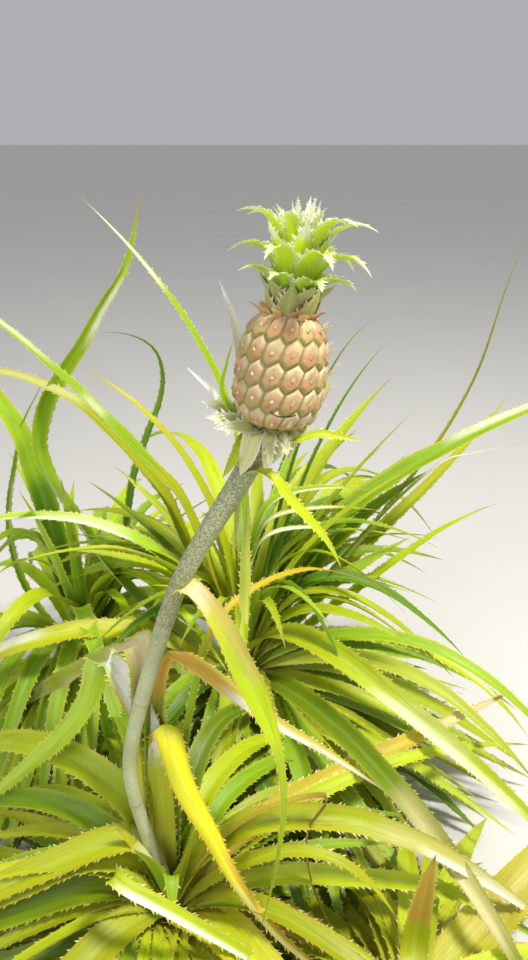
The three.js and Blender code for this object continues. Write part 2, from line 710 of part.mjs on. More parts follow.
// Stations of a bract, from its root in the collar to its tip.
function bractStations({ at, width }) {
  const azimuth = at[0][0];
  const start = level(azimuth).multiplyScalar(COLLAR_RADIUS - SUNK).setZ(-COLLAR_HEIGHT / 2);
  const places = at.map(([turn, reach, height]) => level(turn).multiplyScalar(reach).setZ(height));
  const across = level(azimuth - 90);
  return bladeStations([start, ...places], across, width, shortOutline, BRACT_STEP, () => BRACT_THICKNESS);
}

// Leaves of the stalk: the long one starts at a node of the stalk, bends over and hangs to the ground.
function addStalkLeaves() {
  for (const leaf of STALK_LEAVES) {
    const points = leaf.at.map(vector);
    const thickness = (length) => length * BLADE_THICKNESS;
    const across = vector(STALK_LEAF_ACROSS);
    const stations = bladeStations(points, across, leaf.width, longOutline, STEP_LENGTH, thickness);
    addLeaf(leaf.name, stations, leaf, 'bract');
  }
}

addMainStem();
addStalk();
addHead();
addStalkLeaves();
for (const rosette of ROSETTES) {
  if (rosette.stem) addSideStem(rosette);
}
for (const rosette of ROSETTES) {
  if (rosette.stem) addWhorls(rosette);
  else addSingleLeaves(rosette);
}

export default plant;
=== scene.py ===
"""Looks of the pineapple plant: four rosettes of long channelled leaves from one root, a bent stalk and
a small fruit with its crown. Lengths in the tables are millimetres, as in the part's source; the
meshes are in metres."""

import math

import bpy
import numpy as np
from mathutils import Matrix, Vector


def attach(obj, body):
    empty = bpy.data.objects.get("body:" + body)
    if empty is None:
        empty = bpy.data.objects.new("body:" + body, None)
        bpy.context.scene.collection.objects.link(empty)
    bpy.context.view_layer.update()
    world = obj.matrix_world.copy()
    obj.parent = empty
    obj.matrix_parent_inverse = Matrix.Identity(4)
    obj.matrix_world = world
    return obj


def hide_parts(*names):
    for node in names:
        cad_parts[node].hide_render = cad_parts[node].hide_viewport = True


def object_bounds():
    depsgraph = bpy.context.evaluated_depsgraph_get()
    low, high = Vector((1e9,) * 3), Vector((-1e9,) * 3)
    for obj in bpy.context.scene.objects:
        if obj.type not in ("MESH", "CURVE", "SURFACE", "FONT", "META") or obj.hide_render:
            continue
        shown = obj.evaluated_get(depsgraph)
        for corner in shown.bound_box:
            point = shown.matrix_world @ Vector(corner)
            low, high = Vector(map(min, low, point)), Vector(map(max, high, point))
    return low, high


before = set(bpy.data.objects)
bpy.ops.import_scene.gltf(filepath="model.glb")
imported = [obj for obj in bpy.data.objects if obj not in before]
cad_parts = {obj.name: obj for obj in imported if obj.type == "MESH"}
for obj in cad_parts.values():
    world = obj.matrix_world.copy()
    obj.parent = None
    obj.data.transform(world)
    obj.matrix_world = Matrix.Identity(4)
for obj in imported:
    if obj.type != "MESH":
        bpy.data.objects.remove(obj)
cad_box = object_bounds()

MM = 0.001
GROUND = 0.0015  # lowest place of a leaf, in metres
SHARP_ANGLE = 50  # faces that meet at more degrees than this are shaded with an edge
NOISE_ROUGHNESS = 0.55
SCATTERING = 43758.5453  # large factor that makes chance of a sine

# Stem, stalk and fruit, with the sizes of the part's source but for the eyes, which were counted anew.
STEM_HEIGHT = 138
STEM_LEAN = -4
STEM_FOOT_RADIUS = 38
STEM_RADIUS = 26
STEM_TOP_RADIUS = 13
STALK_BENDS = [
    (-25, 0, 217), (-38, 2, 305), (-34, 3, 345), (-6, 4, 451), (24, 5, 540), (50, 8, 590), (80, 11, 640),
    (101, 13, 676),
]
STALK_NODES = (0.22, 0.45, 0.62, 0.7, 0.86)  # shares of its length where leaves stood
STALK_FOOT_RADIUS = 7.5
STALK_TOP_RADIUS = 11.5
FRUIT_BASE = (114, 14, 701)
FRUIT_LEAN = (0.14, 0.1, 1)
FRUIT_HEIGHT = 99
FRUIT_RADIUS = 37.5
FRUIT_ROUNDNESS = 3
FRUIT_END = 0.985
FRUIT_TAPER = 0.05
EYE_ROWS = 5
EYES_IN_ROW = 14
EYE_RISE = 2.8
EYE_STRETCH = 0.76  # eyes stand taller than they are wide
EYE_TWIST = 22
SCAR = ((-100, -64), 17, 3, 0.9)  # from and to azimuth, height, rise at its ends, half width
GOLDEN_ANGLE = 137.508

CHANNEL_DEPTH = 0.2  # depth of a leaf's channel as a share of its width
SUNK = 5  # how far a root reaches into what carries it

# Blades: frames along and points across, thickness, then length and spacing of the spines. `ripple` is
# how much the margins wave and `depth` how deep the channel is, both as shares of the width.
SEEN_BLADE = {"frames": 44, "sides": 9, "thick": 1.8, "spines": (3.0, 8.0)}
FAN_BLADE = {"frames": 26, "sides": 7, "thick": 1.8, "spines": (2.8, 10.0)}
STALK_BLADE = {"frames": 60, "sides": 9, "thick": 1.6, "spines": (2.6, 7.0)}
CROWN_BLADE = {"frames": 24, "sides": 9, "thick": 1.8, "spines": (3.6, 4.6), "depth": 0.24}
BRACT_BLADE = {"frames": 26, "sides": 7, "thick": 1.8, "ripple": 0.05}
EYE_BLADE = {"frames": 8, "sides": 5, "thick": 0.7, "ripple": 0, "depth": 0.3}
BLUSH_BLADE = {"frames": 9, "sides": 5, "thick": 0.9, "spines": (1.6, 3.5), "ripple": 0.02, "depth": 0.25}
CHANNEL_CURVE = 1.6  # power by which a channel rises from its middle to its margins
POINT_SHARE = 0.012  # least width of a blade as a share of its greatest
RIPPLES = (34, 15)  # length per radian of a margin's slow and quick waves
BRACT_SPINE = 3.4
BRACT_SPINE_GAP = 5.0
BRACT_FULLNESS = 1.2  # by which bracts are wider than their table says
BLADE_TWIST = 24  # greatest difference of twist between two leaves of a crown or a fan
FACING = -30.0  # azimuth of a leaf that is given in space

# First of the numbers by which chance tells leaves apart.
EYE_SEED = 1000
BLUSH_SEED = 1300
CROWN_SEED = 1500
BRACT_SEED = 1700
STALK_SEED = 1800

# Leaves of a fan
FAN_SWAY = 10  # degrees within which chance moves a leaf
FAN_TURN = 18  # degrees within which it turns the tip
FAN_ROLL = 50
FAN_SIZE = (0.8, 0.34)  # least size and what chance adds at most
FAN_DROOP = (0.6, 0.6)  # the same for the height of the tip
FAN_REACH = (0.94, 8)  # share of the way to the edge of the plant's box, less a gap
CREST_SHARE = 0.7  # greatest reach of the crest as a share of the tip's

# Fruit
FRUIT_GRID = (230, 380)  # corners up and round it
CROWDING = 0.86  # share of a quarter turn whose sine crowds its rows of corners at both ends
SEAM_WIDTH = 9
HEART_REACH = 8
EYE_DIP = (0.5, 2.2)  # depth and reach of the dip in an eye's middle
EYE_FLAP = (0.5, 6)  # rise and reach of an eye's lower half
BLUSH_COUNT = 15  # blushed bracts on top
BLUSH_REACH = (17, 9)  # least reach of their roots and what chance adds at most

# Floor, light and camera, in metres. A lamp has a name, a place, a power, a size and a colour.
FLOOR_REACH = 30
SKY = (0.95, 0.97, 1.0, 1)
SKY_STRENGTH = 0.44
LAMP_AIM = (0.1, 0.1, 0.4)
LAMPS = [
    ("key", (1.3, -0.5, 3.0), 106, 0.45, (1.0, 0.97, 0.9)),
    ("fill", (-1.4, -2.0, 2.2), 34, 1.4, (0.95, 0.97, 1.0)),
]
CAMERA_PLACE = (0.106, -0.650, 0.950)
CAMERA_TILT = 65.5
CAMERA_LENS = 30
CAMERA_SENSOR = 36

# Colours of a leaf by the share of its length (root, body, tip) and along its margin.
# The looks sun, lit, glow and heart are lighter copies with painted light, for leaves the sun lit or shone
# through; shade and deep are darker copies with painted shade, for leaves in the others' shade.
LOOKS = {
    "sun": ("#d6dc94", "#bdd22c", "#b3c93a", "#dbe070"),
    "green": ("#c6d088", "#8fb82a", "#98bb3c", "#c4d062"),
    "fresh": ("#cfdfa6", "#a4cc46", "#a9ca55", "#dfe9a4"),
    "deep": ("#98ab5c", "#5d8a28", "#6b9434", "#93ab52"),
    "olive": ("#c6cc7c", "#adb92a", "#b8bb38", "#bfb048"),
    "shade": ("#9aa84c", "#6f8c1c", "#7c9820", "#a4b24c"),
    "gold": ("#dcdc84", "#c6d034", "#cfcf48", "#dcc470"),
    "yellow": ("#d2d84a", "#f7f210", "#efe048", "#dfb040"),
    "lit": ("#d8e070", "#b6dc1c", "#aed42a", "#dde85c"),
    "haze": ("#f0e2b0", "#aebf34", "#a2b43a", "#d9cf94"),
    "moss": ("#8fa838", "#7c9a1e", "#a6a860", "#b2b85c"),
    "rust": ("#c8b470", "#c4a24a", "#d0a864", "#d29660"),
    "orange": ("#b3a440", "#d9bd2c", "#d9a63a", "#d4a04c"),
    "pink": ("#efdcbc", "#c6b850", "#d6b078", "#dcb888"),
    "grey": ("#d8cf94", "#bcbd6a", "#a9b25c", "#d8c490"),
    "pale": ("#e9ecd2", "#c2d07e", "#b3c85c", "#eaf0c2"),
    "white": ("#f4f4dc", "#c8d838", "#bcd12c", "#e6ec90"),
    "dry": ("#a3835a", "#96714a", "#84603e", "#cdb592"),
    "straw": ("#b0926a", "#c9a27e", "#d8b294", "#f4e8d2"),
    "rose": ("#d8b890", "#e0ac80", "#e8c8a4", "#efd2b0"),
    "tongue": ("#d9d07a", "#b0cb22", "#84a022", "#c4b268"),
    "crown": ("#a8ba38", "#aad02a", "#d4ea88", "#f2fad0"),
    "glow": ("#bcd028", "#cbe61c", "#dcf088", "#f6fcd4"),
    "heart": ("#dcee18", "#dcf418", "#f6fcdc", "#fcfef0"),
    "neck": ("#b89a60", "#a9ac62", "#b0ba68", "#dccfa0"),
    "bract": ("#a0a45c", "#bcc07c", "#f2f4d6", "#fbfbea"),
    "spike": ("#dedcc8", "#f7f6ec", "#ffffff", "#ffffff"),
    "sheath": ("#c8c288", "#d0ca92", "#dcd8a8", "#ece8c6"),
    "blush": ("#d8a27c", "#dc9470", "#de765a", "#f0b09a"),
    "eyetip": ("#c4ac78", "#e4d2aa", "#fff4de", "#f8ecd2"),
}

# White of the painted highlights where the sun fell on a leaf, with a little of its pale waxy bloom.
WAX_AND_HIGHLIGHT = "#fbfbe8"
FRINGE = "#f2ecc4"  # tips of the spines
WITHERED = "#9c7240"
LEAF_SHADES = (0.86, 0.28)  # darkest of the factors from leaf to leaf and what chance adds at most
ROOT_ENDS = 0.28  # shares of the length where the root's colour ends and the tip's starts
TIP_STARTS = 0.55
MARGIN_STARTS = 0.72  # share of the half width where the margin's colour starts
MARGIN_AMOUNT = 0.75
BAND_EDGE = 0.06  # share of the length over which a band of painted highlight or tint sets in
BELOW_EDGE = 0.08
# Looks that keep their colours. Those of the others are multiplied by SUNLIT, which takes most of the blue.
PALE_LOOKS = ("crown", "glow", "heart", "neck", "bract", "spike", "sheath", "blush", "eyetip")
SUNLIT = (0.96, 0.93, 0.24)


def leaf(stations, width, look, **more):
    """Entry of one leaf: the places its middle line passes, its width, its look and what else it has."""
    return {"at": stations, "width": width, "look": look, **more}


def flat_leaf(azimuth, places, width, look, **more):
    """Entry of a leaf in one upright plane, its places given by reach and height."""
    return leaf([(azimuth, *place) for place in places], width, look, **more)


# Leaves whose place the photograph shows. The last station is the tip. A station is azimuth from the
# rosette's heart in degrees, reach and height over the ground, or x, y and height with `in_space`.
# `roll` turns the blade about its middle line, by one angle or by pairs of share and angle. A leaf's
# stretches of painted highlight and of its own tints each give from and to as shares of the length, how much,
# on which side (-1, 1, or 0 for all but the margins), and a colour where it isn't the highlight white. Those
# with no colour or a near-white one are mostly painted highlights where the sun fell; the others are the
# leaf's own tints. `below` is the look of the lower part and the share where it ends.
# `thin` is the share where a leaf starts to narrow, over how much of its length, and by how much.
MOTHER_LEAVES = [
    flat_leaf(190, [(70, 148), (195, 130), (430, 40)], 40, "shade", roll=25, sheen=[(0.5, 1.0, 0.25, 1)]),
    leaf([(228, 80, 134), (226, 330, 30)], 40, "olive", roll=20),
    leaf([(-42, 100, 136), (-45, 320, 40)], 54, "gold"),
    flat_leaf(-15, [(100, 136), (300, 15)], 34, "rust", roll=-20),
    flat_leaf(-5, [(110, 160), (220, 172), (325, 158), (460, 60)], 24, "sun", roll=-20),
    flat_leaf(
        -5, [(47, 192), (74, 226), (104, 248), (141, 258), (180, 260), (215, 257), (251, 244), (289, 228),
             (321, 208), (352, 185), (389, 157), (450, 104)],
        30, "olive", roll=-32,
        sheen=[(0.5, 0.95, 0.4, 0, "#e2cfa0"), (0.6, 0.96, 0.8, 1), (0.7, 0.9, 0.35, 0)],
    ),
    leaf(
        [(200, 14, 180), (195, 24, 206), (192, 40, 219), (190, 75, 214), (190, 120, 198), (190, 185, 172),
         (190, 380, 60)],
        34, "olive", roll=20, sheen=[(0.0, 0.15, 0.7, 0)],
    ),
    flat_leaf(
        152, [(28, 190), (48, 243), (75, 260), (105, 270), (170, 270), (245, 245), (430, 120)],
        36, "sun", roll=25,
    ),
    flat_leaf(
        28, [(120, 180), (218, 199), (332, 208), (441, 215), (520, 220)],
        28, "pink", roll=-25, sheen=[(0.72, 0.95, 0.4, 0)],
    ),
    leaf(
        [(95, 20, 330), (60, 12, 364), (-30, 18, 340), (-30, 27, 307), (-30, 44, 277), (-30, 63, 248),
         (-30, 79, 220), (-30, 96, 196), (-30, 118, 173), (-30, 144, 152), (-30, 171, 140),
         (-30, 300, 95)],
        29, "yellow", roll=[(0, 0), (0.4, 0), (0.6, 6), (1, 8)], thin=(0.42, 0.3, 0.42),
        below=("olive", 0.33), sheen=[(0.56, 1.0, 0.7, 1, "#d98f3c"), (0.62, 1.0, 0.6, -1, "#f6ecc0")],
    ),
    leaf(
        [(110, 14, 240), (120, 16, 325), (138, 27, 382), (145, 42, 412), (152, 57, 436), (155, 65, 435),
         (157, 73, 418), (158, 88, 378), (160, 125, 320), (160, 172, 266), (160, 225, 205),
         (160, 290, 120)],
        31, "lit", roll=[(0, 20), (0.38, 20), (0.56, -60), (1, -68)],
        sheen=[(0.24, 0.42, 1.0, 0, "#ffffff")], below=("olive", 0.42),
    ),
    leaf(
        [(128, 20, 318), (125, 24, 392), (122, 23, 440), (124, 28, 458), (128, 44, 450), (128, 76, 420),
         (128, 130, 376), (128, 262, 266), (128, 445, 108), (128, 560, 14)],
        36, "haze", roll=[(0, 10), (0.4, 20), (0.56, 56), (1, 62)],
        sheen=[(0.24, 0.4, 0.9, 0, "#f6dfb8"), (0.36, 0.56, 0.6, -1, "#ecd8a0")],
    ),
    leaf(
        [(120, 20, 328), (105, 17, 404), (70, 18, 444), (43, 24, 456), (17, 36, 451), (8, 54, 437),
         (5, 86, 406), (5, 112, 379), (5, 182, 321), (5, 250, 257)],
        24, "rose", roll=[(0, 0), (0.4, 0), (0.56, 14), (1, 22)], below=("shade", 0.42),
        sheen=[(0.6, 1.0, 1.0, -1, "#fffaf0"), (0.52, 1.0, 0.6, 1, "#a3ae34")],
    ),
    flat_leaf(
        45, [(30, 306), (54, 402), (68, 440), (95, 468), (130, 477), (170, 478), (212, 470), (250, 456),
             (312, 420), (370, 380), (415, 336), (447, 291), (452, 268)],
        9, "orange", roll=-20, thin=(0.6, 0.08, 0.78), below=("green", 0.4),
    ),
    leaf(
        [(-16, -8, 132), (-36, -38, 190), (-51, -62, 228), (-38, -74, 228), (-1, -82, 210), (32, -84, 185),
         (65, -84, 156), (110, -86, 116), (167, -90, 62)],
        18, "sun", roll=-14, sheen=[(0.3, 0.97, 0.9, 1)], in_space=True,
    ),
    flat_leaf(
        25, [(119, 169), (185, 193), (239, 201), (304, 202), (434, 176), (536, 138)],
        20, "sun", roll=-25,
    ),
    flat_leaf(-12, [(168, 230), (262, 150)], 18, "olive", roll=-15),
    flat_leaf(
        -8, [(100, 262), (178, 300), (158, 245), (170, 150), (217, 55)],
        9, "dry", below=("pink", 0.46),
    ),
    flat_leaf(190, [(42, 174), (85, 191), (142, 173), (190, 152), (340, 60)], 30, "gold", roll=10),
    leaf([(110, 18, 200), (100, 20, 290), (90, 18, 372)], 38, "olive"),
    leaf([(165, 16, 190), (150, 20, 240), (140, 22, 300)], 30, "pale"),
]
BACK_LEAVES = [
    flat_leaf(
        -40, [(35, 236), (75, 266), (124, 276), (176, 272), (234, 257), (324, 228), (431, 187),
              (540, 130)],
        34, "sun", roll=-38, sheen=[(0.42, 0.8, 0.6, 1, "#f0f0cc"), (0.48, 0.66, 0.2, 0)],
    ),
    flat_leaf(
        -58, [(113, 205), (198, 223), (272, 228), (333, 223), (387, 218), (430, 207), (485, 188),
              (549, 154), (640, 88)],
        32, "moss", roll=-32, sheen=[(0.5, 0.78, 0.75, 0, "#d2c488"), (0.56, 0.78, 0.5, 1, "#ecdcb0")],
    ),
    flat_leaf(
        -9, [(60, 225), (150, 245), (250, 240), (294, 222), (340, 192), (388, 150), (438, 88)],
        24, "sun", roll=-25, sheen=[(0.55, 0.8, 0.6, -1)],
    ),
    flat_leaf(
        200, [(86, 214), (144, 265), (230, 291), (291, 293), (350, 284), (540, 200)],
        36, "gold", roll=22, sheen=[(0.52, 0.95, 0.85, 1)],
    ),
    flat_leaf(
        190, [(123, 383), (250, 452), (420, 440)],
        26, "fresh", roll=20, sheen=[(0.48, 0.8, 0.85, -1), (0.5, 0.7, 0.3, 0)],
    ),
    flat_leaf(
        178, [(120, 250), (198, 339), (245, 432), (272, 486), (283, 530), (277, 566), (264, 600),
              (235, 643), (204, 685), (176, 730), (145, 775), (131, 816), (120, 864)],
        36, "green", roll=[(0, 0), (0.4, -8), (0.5, 5), (0.62, 50), (1, 60)],
        sheen=[(0.25, 0.47, 0.55, -1), (0.74, 0.84, 0.8, 1)],
    ),
    flat_leaf(15, [(124, 353), (283, 469)], 36, "green", roll=-30),
    flat_leaf(8, [(146, 420), (300, 525), (560, 620)], 34, "green", roll=-25, sheen=[(0.6, 0.98, 0.6, -1)]),
    flat_leaf(
        195, [(69, 417), (92, 477), (120, 517), (150, 557), (186, 604), (232, 661), (293, 726),
              (393, 814)],
        28, "green", roll=20, below=("olive", 0.46),
        sheen=[(0.7, 0.98, 0.45, 1), (0.57, 0.6, 0.8, 0), (0.0, 0.16, 0.5, 0, "#b08a3c")],
    ),
    flat_leaf(
        180, [(79, 371), (105, 452), (133, 500), (187, 569), (216, 600), (261, 626), (316, 643),
              (480, 640)],
        24, "olive", roll=25, sheen=[(0.6, 0.8, 0.2, 0)],
    ),
    leaf([(180, 71, 506), (175, 215, 645)], 20, "olive", roll=20),
    flat_leaf(190, [(10, 562), (73, 719), (187, 865)], 20, "green", roll=35, sheen=[(0.78, 1, 0.7, 0)]),
    flat_leaf(20, [(134, 641), (203, 702)], 12, "deep"),
    flat_leaf(20, [(132, 557), (221, 670)], 14, "deep"),
    flat_leaf(15, [(295, 514), (331, 579), (352, 631), (376, 733), (399, 806)], 12, "grey"),
    flat_leaf(0, [(279, 517), (313, 527), (390, 545)], 12, "deep", sheen=[(0.7, 1, 0.9, 0)]),
    flat_leaf(-35, [(150, 150), (290, 130), (440, 90)], 20, "sun", roll=-20),
    flat_leaf(
        5, [(14, 380), (40, 450), (90, 470), (190, 462)],
        22, "green", roll=-10, sheen=[(0.5, 0.85, 1.0, 1)],
    ),
    flat_leaf(2, [(10, 350), (34, 420), (90, 440), (200, 436)], 20, "sun", sheen=[(0.5, 0.8, 0.6, 0)]),
    flat_leaf(-4, [(8, 330), (30, 395), (80, 415), (160, 408)], 18, "fresh", sheen=[(0.4, 0.8, 0.9, 0)]),
    flat_leaf(10, [(70, 330), (130, 405), (235, 470)], 24, "green", roll=-40),
    flat_leaf(20, [(80, 320), (150, 400), (260, 490)], 22, "sun", roll=-40),
    flat_leaf(5, [(120, 300), (180, 345), (245, 385)], 30, "fresh", roll=-35),
    flat_leaf(8, [(180, 300), (300, 390), (380, 425)], 18, "sun", roll=-20),
    flat_leaf(25, [(200, 330), (320, 420), (460, 545)], 24, "olive", roll=-30),
    leaf([(-25, 140, 230), (-28, 270, 250), (-30, 450, 150)], 26, "pale", roll=-25),
    leaf([(-18, 150, 260), (-20, 300, 270), (-22, 500, 130)], 22, "fresh", roll=-25),
    leaf([(-44, 130, 150), (-46, 260, 150), (-48, 470, 50)], 30, "sun", roll=-25),
    leaf([(-2, 120, 210), (-4, 250, 210), (-6, 420, 120)], 24, "green", roll=-20),
]
LEFT_LEAVES = [
    flat_leaf(
        170, [(27, 300), (33, 360), (40, 413), (52, 467), (64, 521), (92, 575), (170, 700)],
        40, "fresh", roll=42, below=("deep", 0.5),
    ),
    flat_leaf(
        20, [(79, 283), (84, 344), (100, 438), (126, 507), (149, 559), (156, 603), (146, 640), (115, 663),
             (65, 671)],
        17, "deep", roll=-35, sheen=[(0.1, 0.35, 0.5, 1)],
    ),
    flat_leaf(
        165, [(60, 190), (97, 250), (112, 330), (105, 403), (88, 461), (62, 537), (29, 590), (13, 615)],
        13, "fresh", roll=20, sheen=[(0.3, 0.6, 0.7, 1)],
    ),
    leaf([(260, 80, 300), (255, 170, 330), (250, 290, 240)], 30, "sun", roll=20),
    leaf([(285, 100, 290), (290, 220, 270), (292, 330, 160)], 28, "fresh"),
    leaf([(240, 120, 240), (235, 240, 200), (232, 360, 90)], 26, "white", sheen=[(0.4, 0.7, 0.9, 0)]),
    leaf([(320, 90, 320), (330, 170, 330), (335, 290, 250)], 20, "sun", roll=-20),
    leaf([(10, 60, 300), (12, 130, 330), (15, 230, 380)], 16, "yellow", roll=-20),
]
RIGHT_LEAVES = [
    flat_leaf(
        37, [(94, 124), (160, 145), (250, 158), (360, 146), (470, 110)],
        50, "gold", roll=-18, sheen=[(0.15, 0.7, 0.5, 0, "#c9a864")],
    ),
    leaf([(82, 40, 120), (76, 54, 190), (68, 58, 255)], 30, "straw", below=("olive", 0.42)),
]

# Leaves that are hidden or show only as a mass, spread between two azimuths: from, to, count, reach and
# height of the crest and of the tip, width, seed, and the looks where they aren't the rosette's.
UNDER_LOOKS = ("shade", "deep", "olive", "shade")  # of the low leaves in the others' shade
MOTHER_FANS = [
    (240, 312, 7, (110, 122), (400, 20), 38, 1),
    (75, 112, 4, (130, 250), (330, 110), 28, 2),
    (150, 206, 6, (110, 88), (380, 25), 34, 3),
    (0, 345, 22, (105, 88), (330, 18), 32, 21),
    (30, 190, 14, (100, 190), (320, 100), 26, 22),
    (-25, 70, 9, (120, 160), (340, 110), 24, 23),
    (120, 215, 9, (100, 150), (340, 70), 26, 32),
    (0, 330, 9, (26, 190), (60, 240), 26, 33),
    (-35, 65, 14, (170, 60), (420, 12), 34, 43, UNDER_LOOKS),
    (120, 240, 12, (150, 60), (380, 12), 34, 44, UNDER_LOOKS),
]
BACK_FANS = [
    (34, 108, 9, (170, 420), (430, 330), 30, 4),
    (-68, 8, 9, (130, 165), (380, 60), 28, 5),
    (215, 290, 10, (110, 200), (250, 110), 26, 7),
    (-15, 65, 16, (95, 400), (260, 500), 20, 24),
    (-18, 45, 13, (110, 320), (310, 300), 24, 25),
    (110, 200, 9, (110, 330), (300, 300), 26, 26),
    (200, 320, 12, (70, 340), (180, 380), 20, 27),
    (-80, 40, 18, (150, 150), (390, 70), 28, 34),
    (180, 280, 12, (120, 150), (320, 60), 26, 35),
    (0, 340, 16, (150, 110), (360, 15), 28, 36),
    (135, 215, 12, (115, 370), (290, 400), 26, 41),
    (-75, 20, 14, (170, 110), (430, 20), 34, 45, UNDER_LOOKS),
    (190, 285, 12, (140, 100), (360, 14), 32, 46, UNDER_LOOKS),
]
LEFT_FANS = [
    (195, 325, 12, (120, 240), (330, 90), 30, 8),
    (45, 150, 8, (140, 290), (330, 200), 30, 9),
    (110, 290, 7, (70, 360), (170, 440), 24, 10),
    (-60, 40, 10, (90, 230), (250, 180), 24, 28),
    (225, 340, 14, (120, 160), (350, 30), 30, 29),
    (200, 350, 14, (150, 120), (370, 10), 28, 37),
    (-45, 75, 12, (110, 320), (260, 340), 24, 42),
    (210, 360, 12, (150, 80), (380, 10), 32, 47, UNDER_LOOKS),
]
RIGHT_FANS = [
    (-75, 8, 8, (130, 150), (330, 50), 36, 11),
    (75, 105, 4, (110, 130), (240, 70), 28, 12),
    (215, 265, 5, (120, 110), (280, 40), 32, 13),
    (20, 150, 10, (90, 105), (250, 40), 26, 30),
    (0, 300, 6, (46, 112), (120, 100), 24, 31),
    (20, 150, 10, (120, 80), (320, 12), 28, 38),
]

ROSETTES = [
    {
        "name": "mother", "heart": (STEM_LEAN, 0), "roots": (50, 134), "radius": 18,
        "leaves": MOTHER_LEAVES, "fans": MOTHER_FANS,
        "fan_looks": ("olive", "green", "gold", "lit", "sun", "shade"),
    },
    {
        "name": "back", "heart": (76, 364), "roots": (118, 205), "radius": 17,
        "stem": [(5, 16, 36), (25, 95, 22), (55, 240, 24), (73, 345, 60)],
        "leaves": BACK_LEAVES, "fans": BACK_FANS,
        "fan_looks": ("sun", "green", "fresh", "sun", "sun", "deep"),
    },
    {
        "name": "left", "heart": (-190, 440), "roots": (88, 180), "radius": 16,
        "stem": [(50, 215, 26), (-40, 310, 22), (-140, 405, 28), (-183, 438, 50)],
        "leaves": LEFT_LEAVES, "fans": LEFT_FANS,
        "fan_looks": ("lit", "fresh", "sun", "green", "lit"),
    },
    {
        "name": "right", "heart": (262, -112), "roots": (64, 122), "radius": 16,
        "stem": [(18, -8, 34), (110, -60, 20), (210, -103, 22), (256, -112, 40)],
        "leaves": RIGHT_LEAVES, "fans": RIGHT_FANS,
        "fan_looks": ("gold", "olive", "sun", "sun", "green"),
    },
]

STALK_LEAF_ACROSS = (-0.3, -1.0, 0.0)  # way that the stalk's leaves lie broad
# Leaves of the stalk: x, y and height.
STALK_LEAVES = [
    leaf(
        [(28, 4, 538), (34, -8, 546), (42, -12, 542), (60, -10, 508), (82, -8, 454), (102, -14, 408),
         (118, -28, 371), (125, -45, 330), (122, -58, 274), (101, -70, 151)],
        29, "tongue", roll=-32,
        sheen=[
            (0.0, 0.07, 0.8, 0, "#f4e2d0"), (0.0, 0.3, 0.5, -1, "#cfa878"), (0.46, 1.0, 0.55, 0, "#86a41c"),
        ],
        thin=(0.34, 0.2, 0.6),
    ),
    leaf([(86, 14, 664), (82, 14, 640), (79, 12, 600), (78, 11, 566)], 13, "pale"),
    leaf(
        [(92, 6, 658), (101, 0, 663), (114, -4, 657), (129, -6, 638), (145, -8, 620), (161, -8, 600),
         (178, -8, 567)],
        12, "sun", roll=-30,
    ),
    leaf([(88, 30, 480), (88, 34, 545), (90, 34, 612)], 12, "pale", roll=60),
]

# Bracts at the foot of the fruit: azimuth, reach and height over the fruit's base. `spine` is the length
# of their spines where it isn't BRACT_SPINE.
BRACTS = [
    leaf([(140, 42, 40), (150, 44, 62), (170, 48, 88), (180, 63, 118)], 10, "spike", roll=40, spine=1.2),
    leaf([(196, 50, 24), (198, 50, 50), (200, 46, 74)], 6, "fresh", roll=60, spine=2.4),
    flat_leaf(186, [(44, 14), (62, 28), (82, 43)], 7, "spike", roll=55, spine=2.2),
    leaf([(190, 38, 4), (188, 52, 12), (186, 66, 14)], 14, "bract", roll=60),
    leaf([(204, 38, 2), (200, 50, 4), (195, 62, 3)], 15, "bract", roll=60),
    leaf([(215, 34, 0), (208, 46, -2), (204, 56, -4)], 12, "bract", roll=55),
    leaf([(178, 40, 8), (176, 52, 18), (176, 62, 26)], 10, "bract", roll=55),
    leaf([(-30, 24, -8), (-16, 42, 0), (-11, 60, 0), (-8, 80, -1)], 8, "sun", roll=-50, spine=2.4),
    leaf([(-94, 22, -10), (-90, 23, -20), (-88, 22, -32)], 8, "bract"),
    leaf([(-66, 24, -8), (-62, 28, -14), (-60, 29, -20)], 10, "bract"),
    leaf([(60, 34, -4), (58, 50, 4)], 12, "bract"),
    leaf([(110, 34, -2), (112, 54, 8)], 12, "bract"),
    leaf([(140, 34, -2), (142, 54, 8)], 12, "bract"),
    leaf([(20, 28, -6), (18, 38, -4)], 9, "bract", roll=-40),
    leaf([(206, 24, -10), (202, 31, -28), (196, 40, -52)], 11, "sun", roll=60, spine=2),
    leaf([(232, 24, -8), (226, 25, -20), (214, 24, -34), (202, 25, -48)], 17, "sheath", roll=10, spine=1.4),
    leaf([(-84, 21, -8), (-88, 19, -20), (-100, 18, -36)], 19, "sheath", spine=1.4),
    leaf([(-40, 20, -6), (-38, 19, -16), (-34, 21, -27)], 15, "sheath", spine=2),
    leaf([(196, 34, 2), (192, 44, 10), (186, 52, 20)], 20, "sheath", roll=50, spine=3),
]
COLLAR_RADIUS = 16.5
COLLAR_HEIGHT = 9
COLLAR_SIDES = 40
COLLAR_COLOUR = "#8f935e"

# Tiers of the crown from the neck to the tuft: count, azimuth of the first, then the root, the bend and
# the tip as reach and height over the crown's foot, the width and the look.
CROWN_TIERS = [
    (6, 20, (18, -4), (24, 8), (27, 22), 30, "neck"),
    (6, -70, (15, 4), (25, 18), (34, 30), 29, "neck"),
    (7, -174, (13, 12), (32, 32), (50, 26), 24, "crown"),
    (8, -166, (11, 18), (36, 52), (60, 42), 25, "glow"),
    (7, -164, (9, 26), (34, 74), (60, 72), 24, "glow"),
    (6, -84, (7, 30), (22, 58), (31, 76), 25, "heart"),
    (7, -100, (6, 32), (16, 68), (29, 84), 23, "heart"),
    (6, -120, (4, 34), (9, 70), (13, 91), 20, "heart"),
]


# Arithmetic


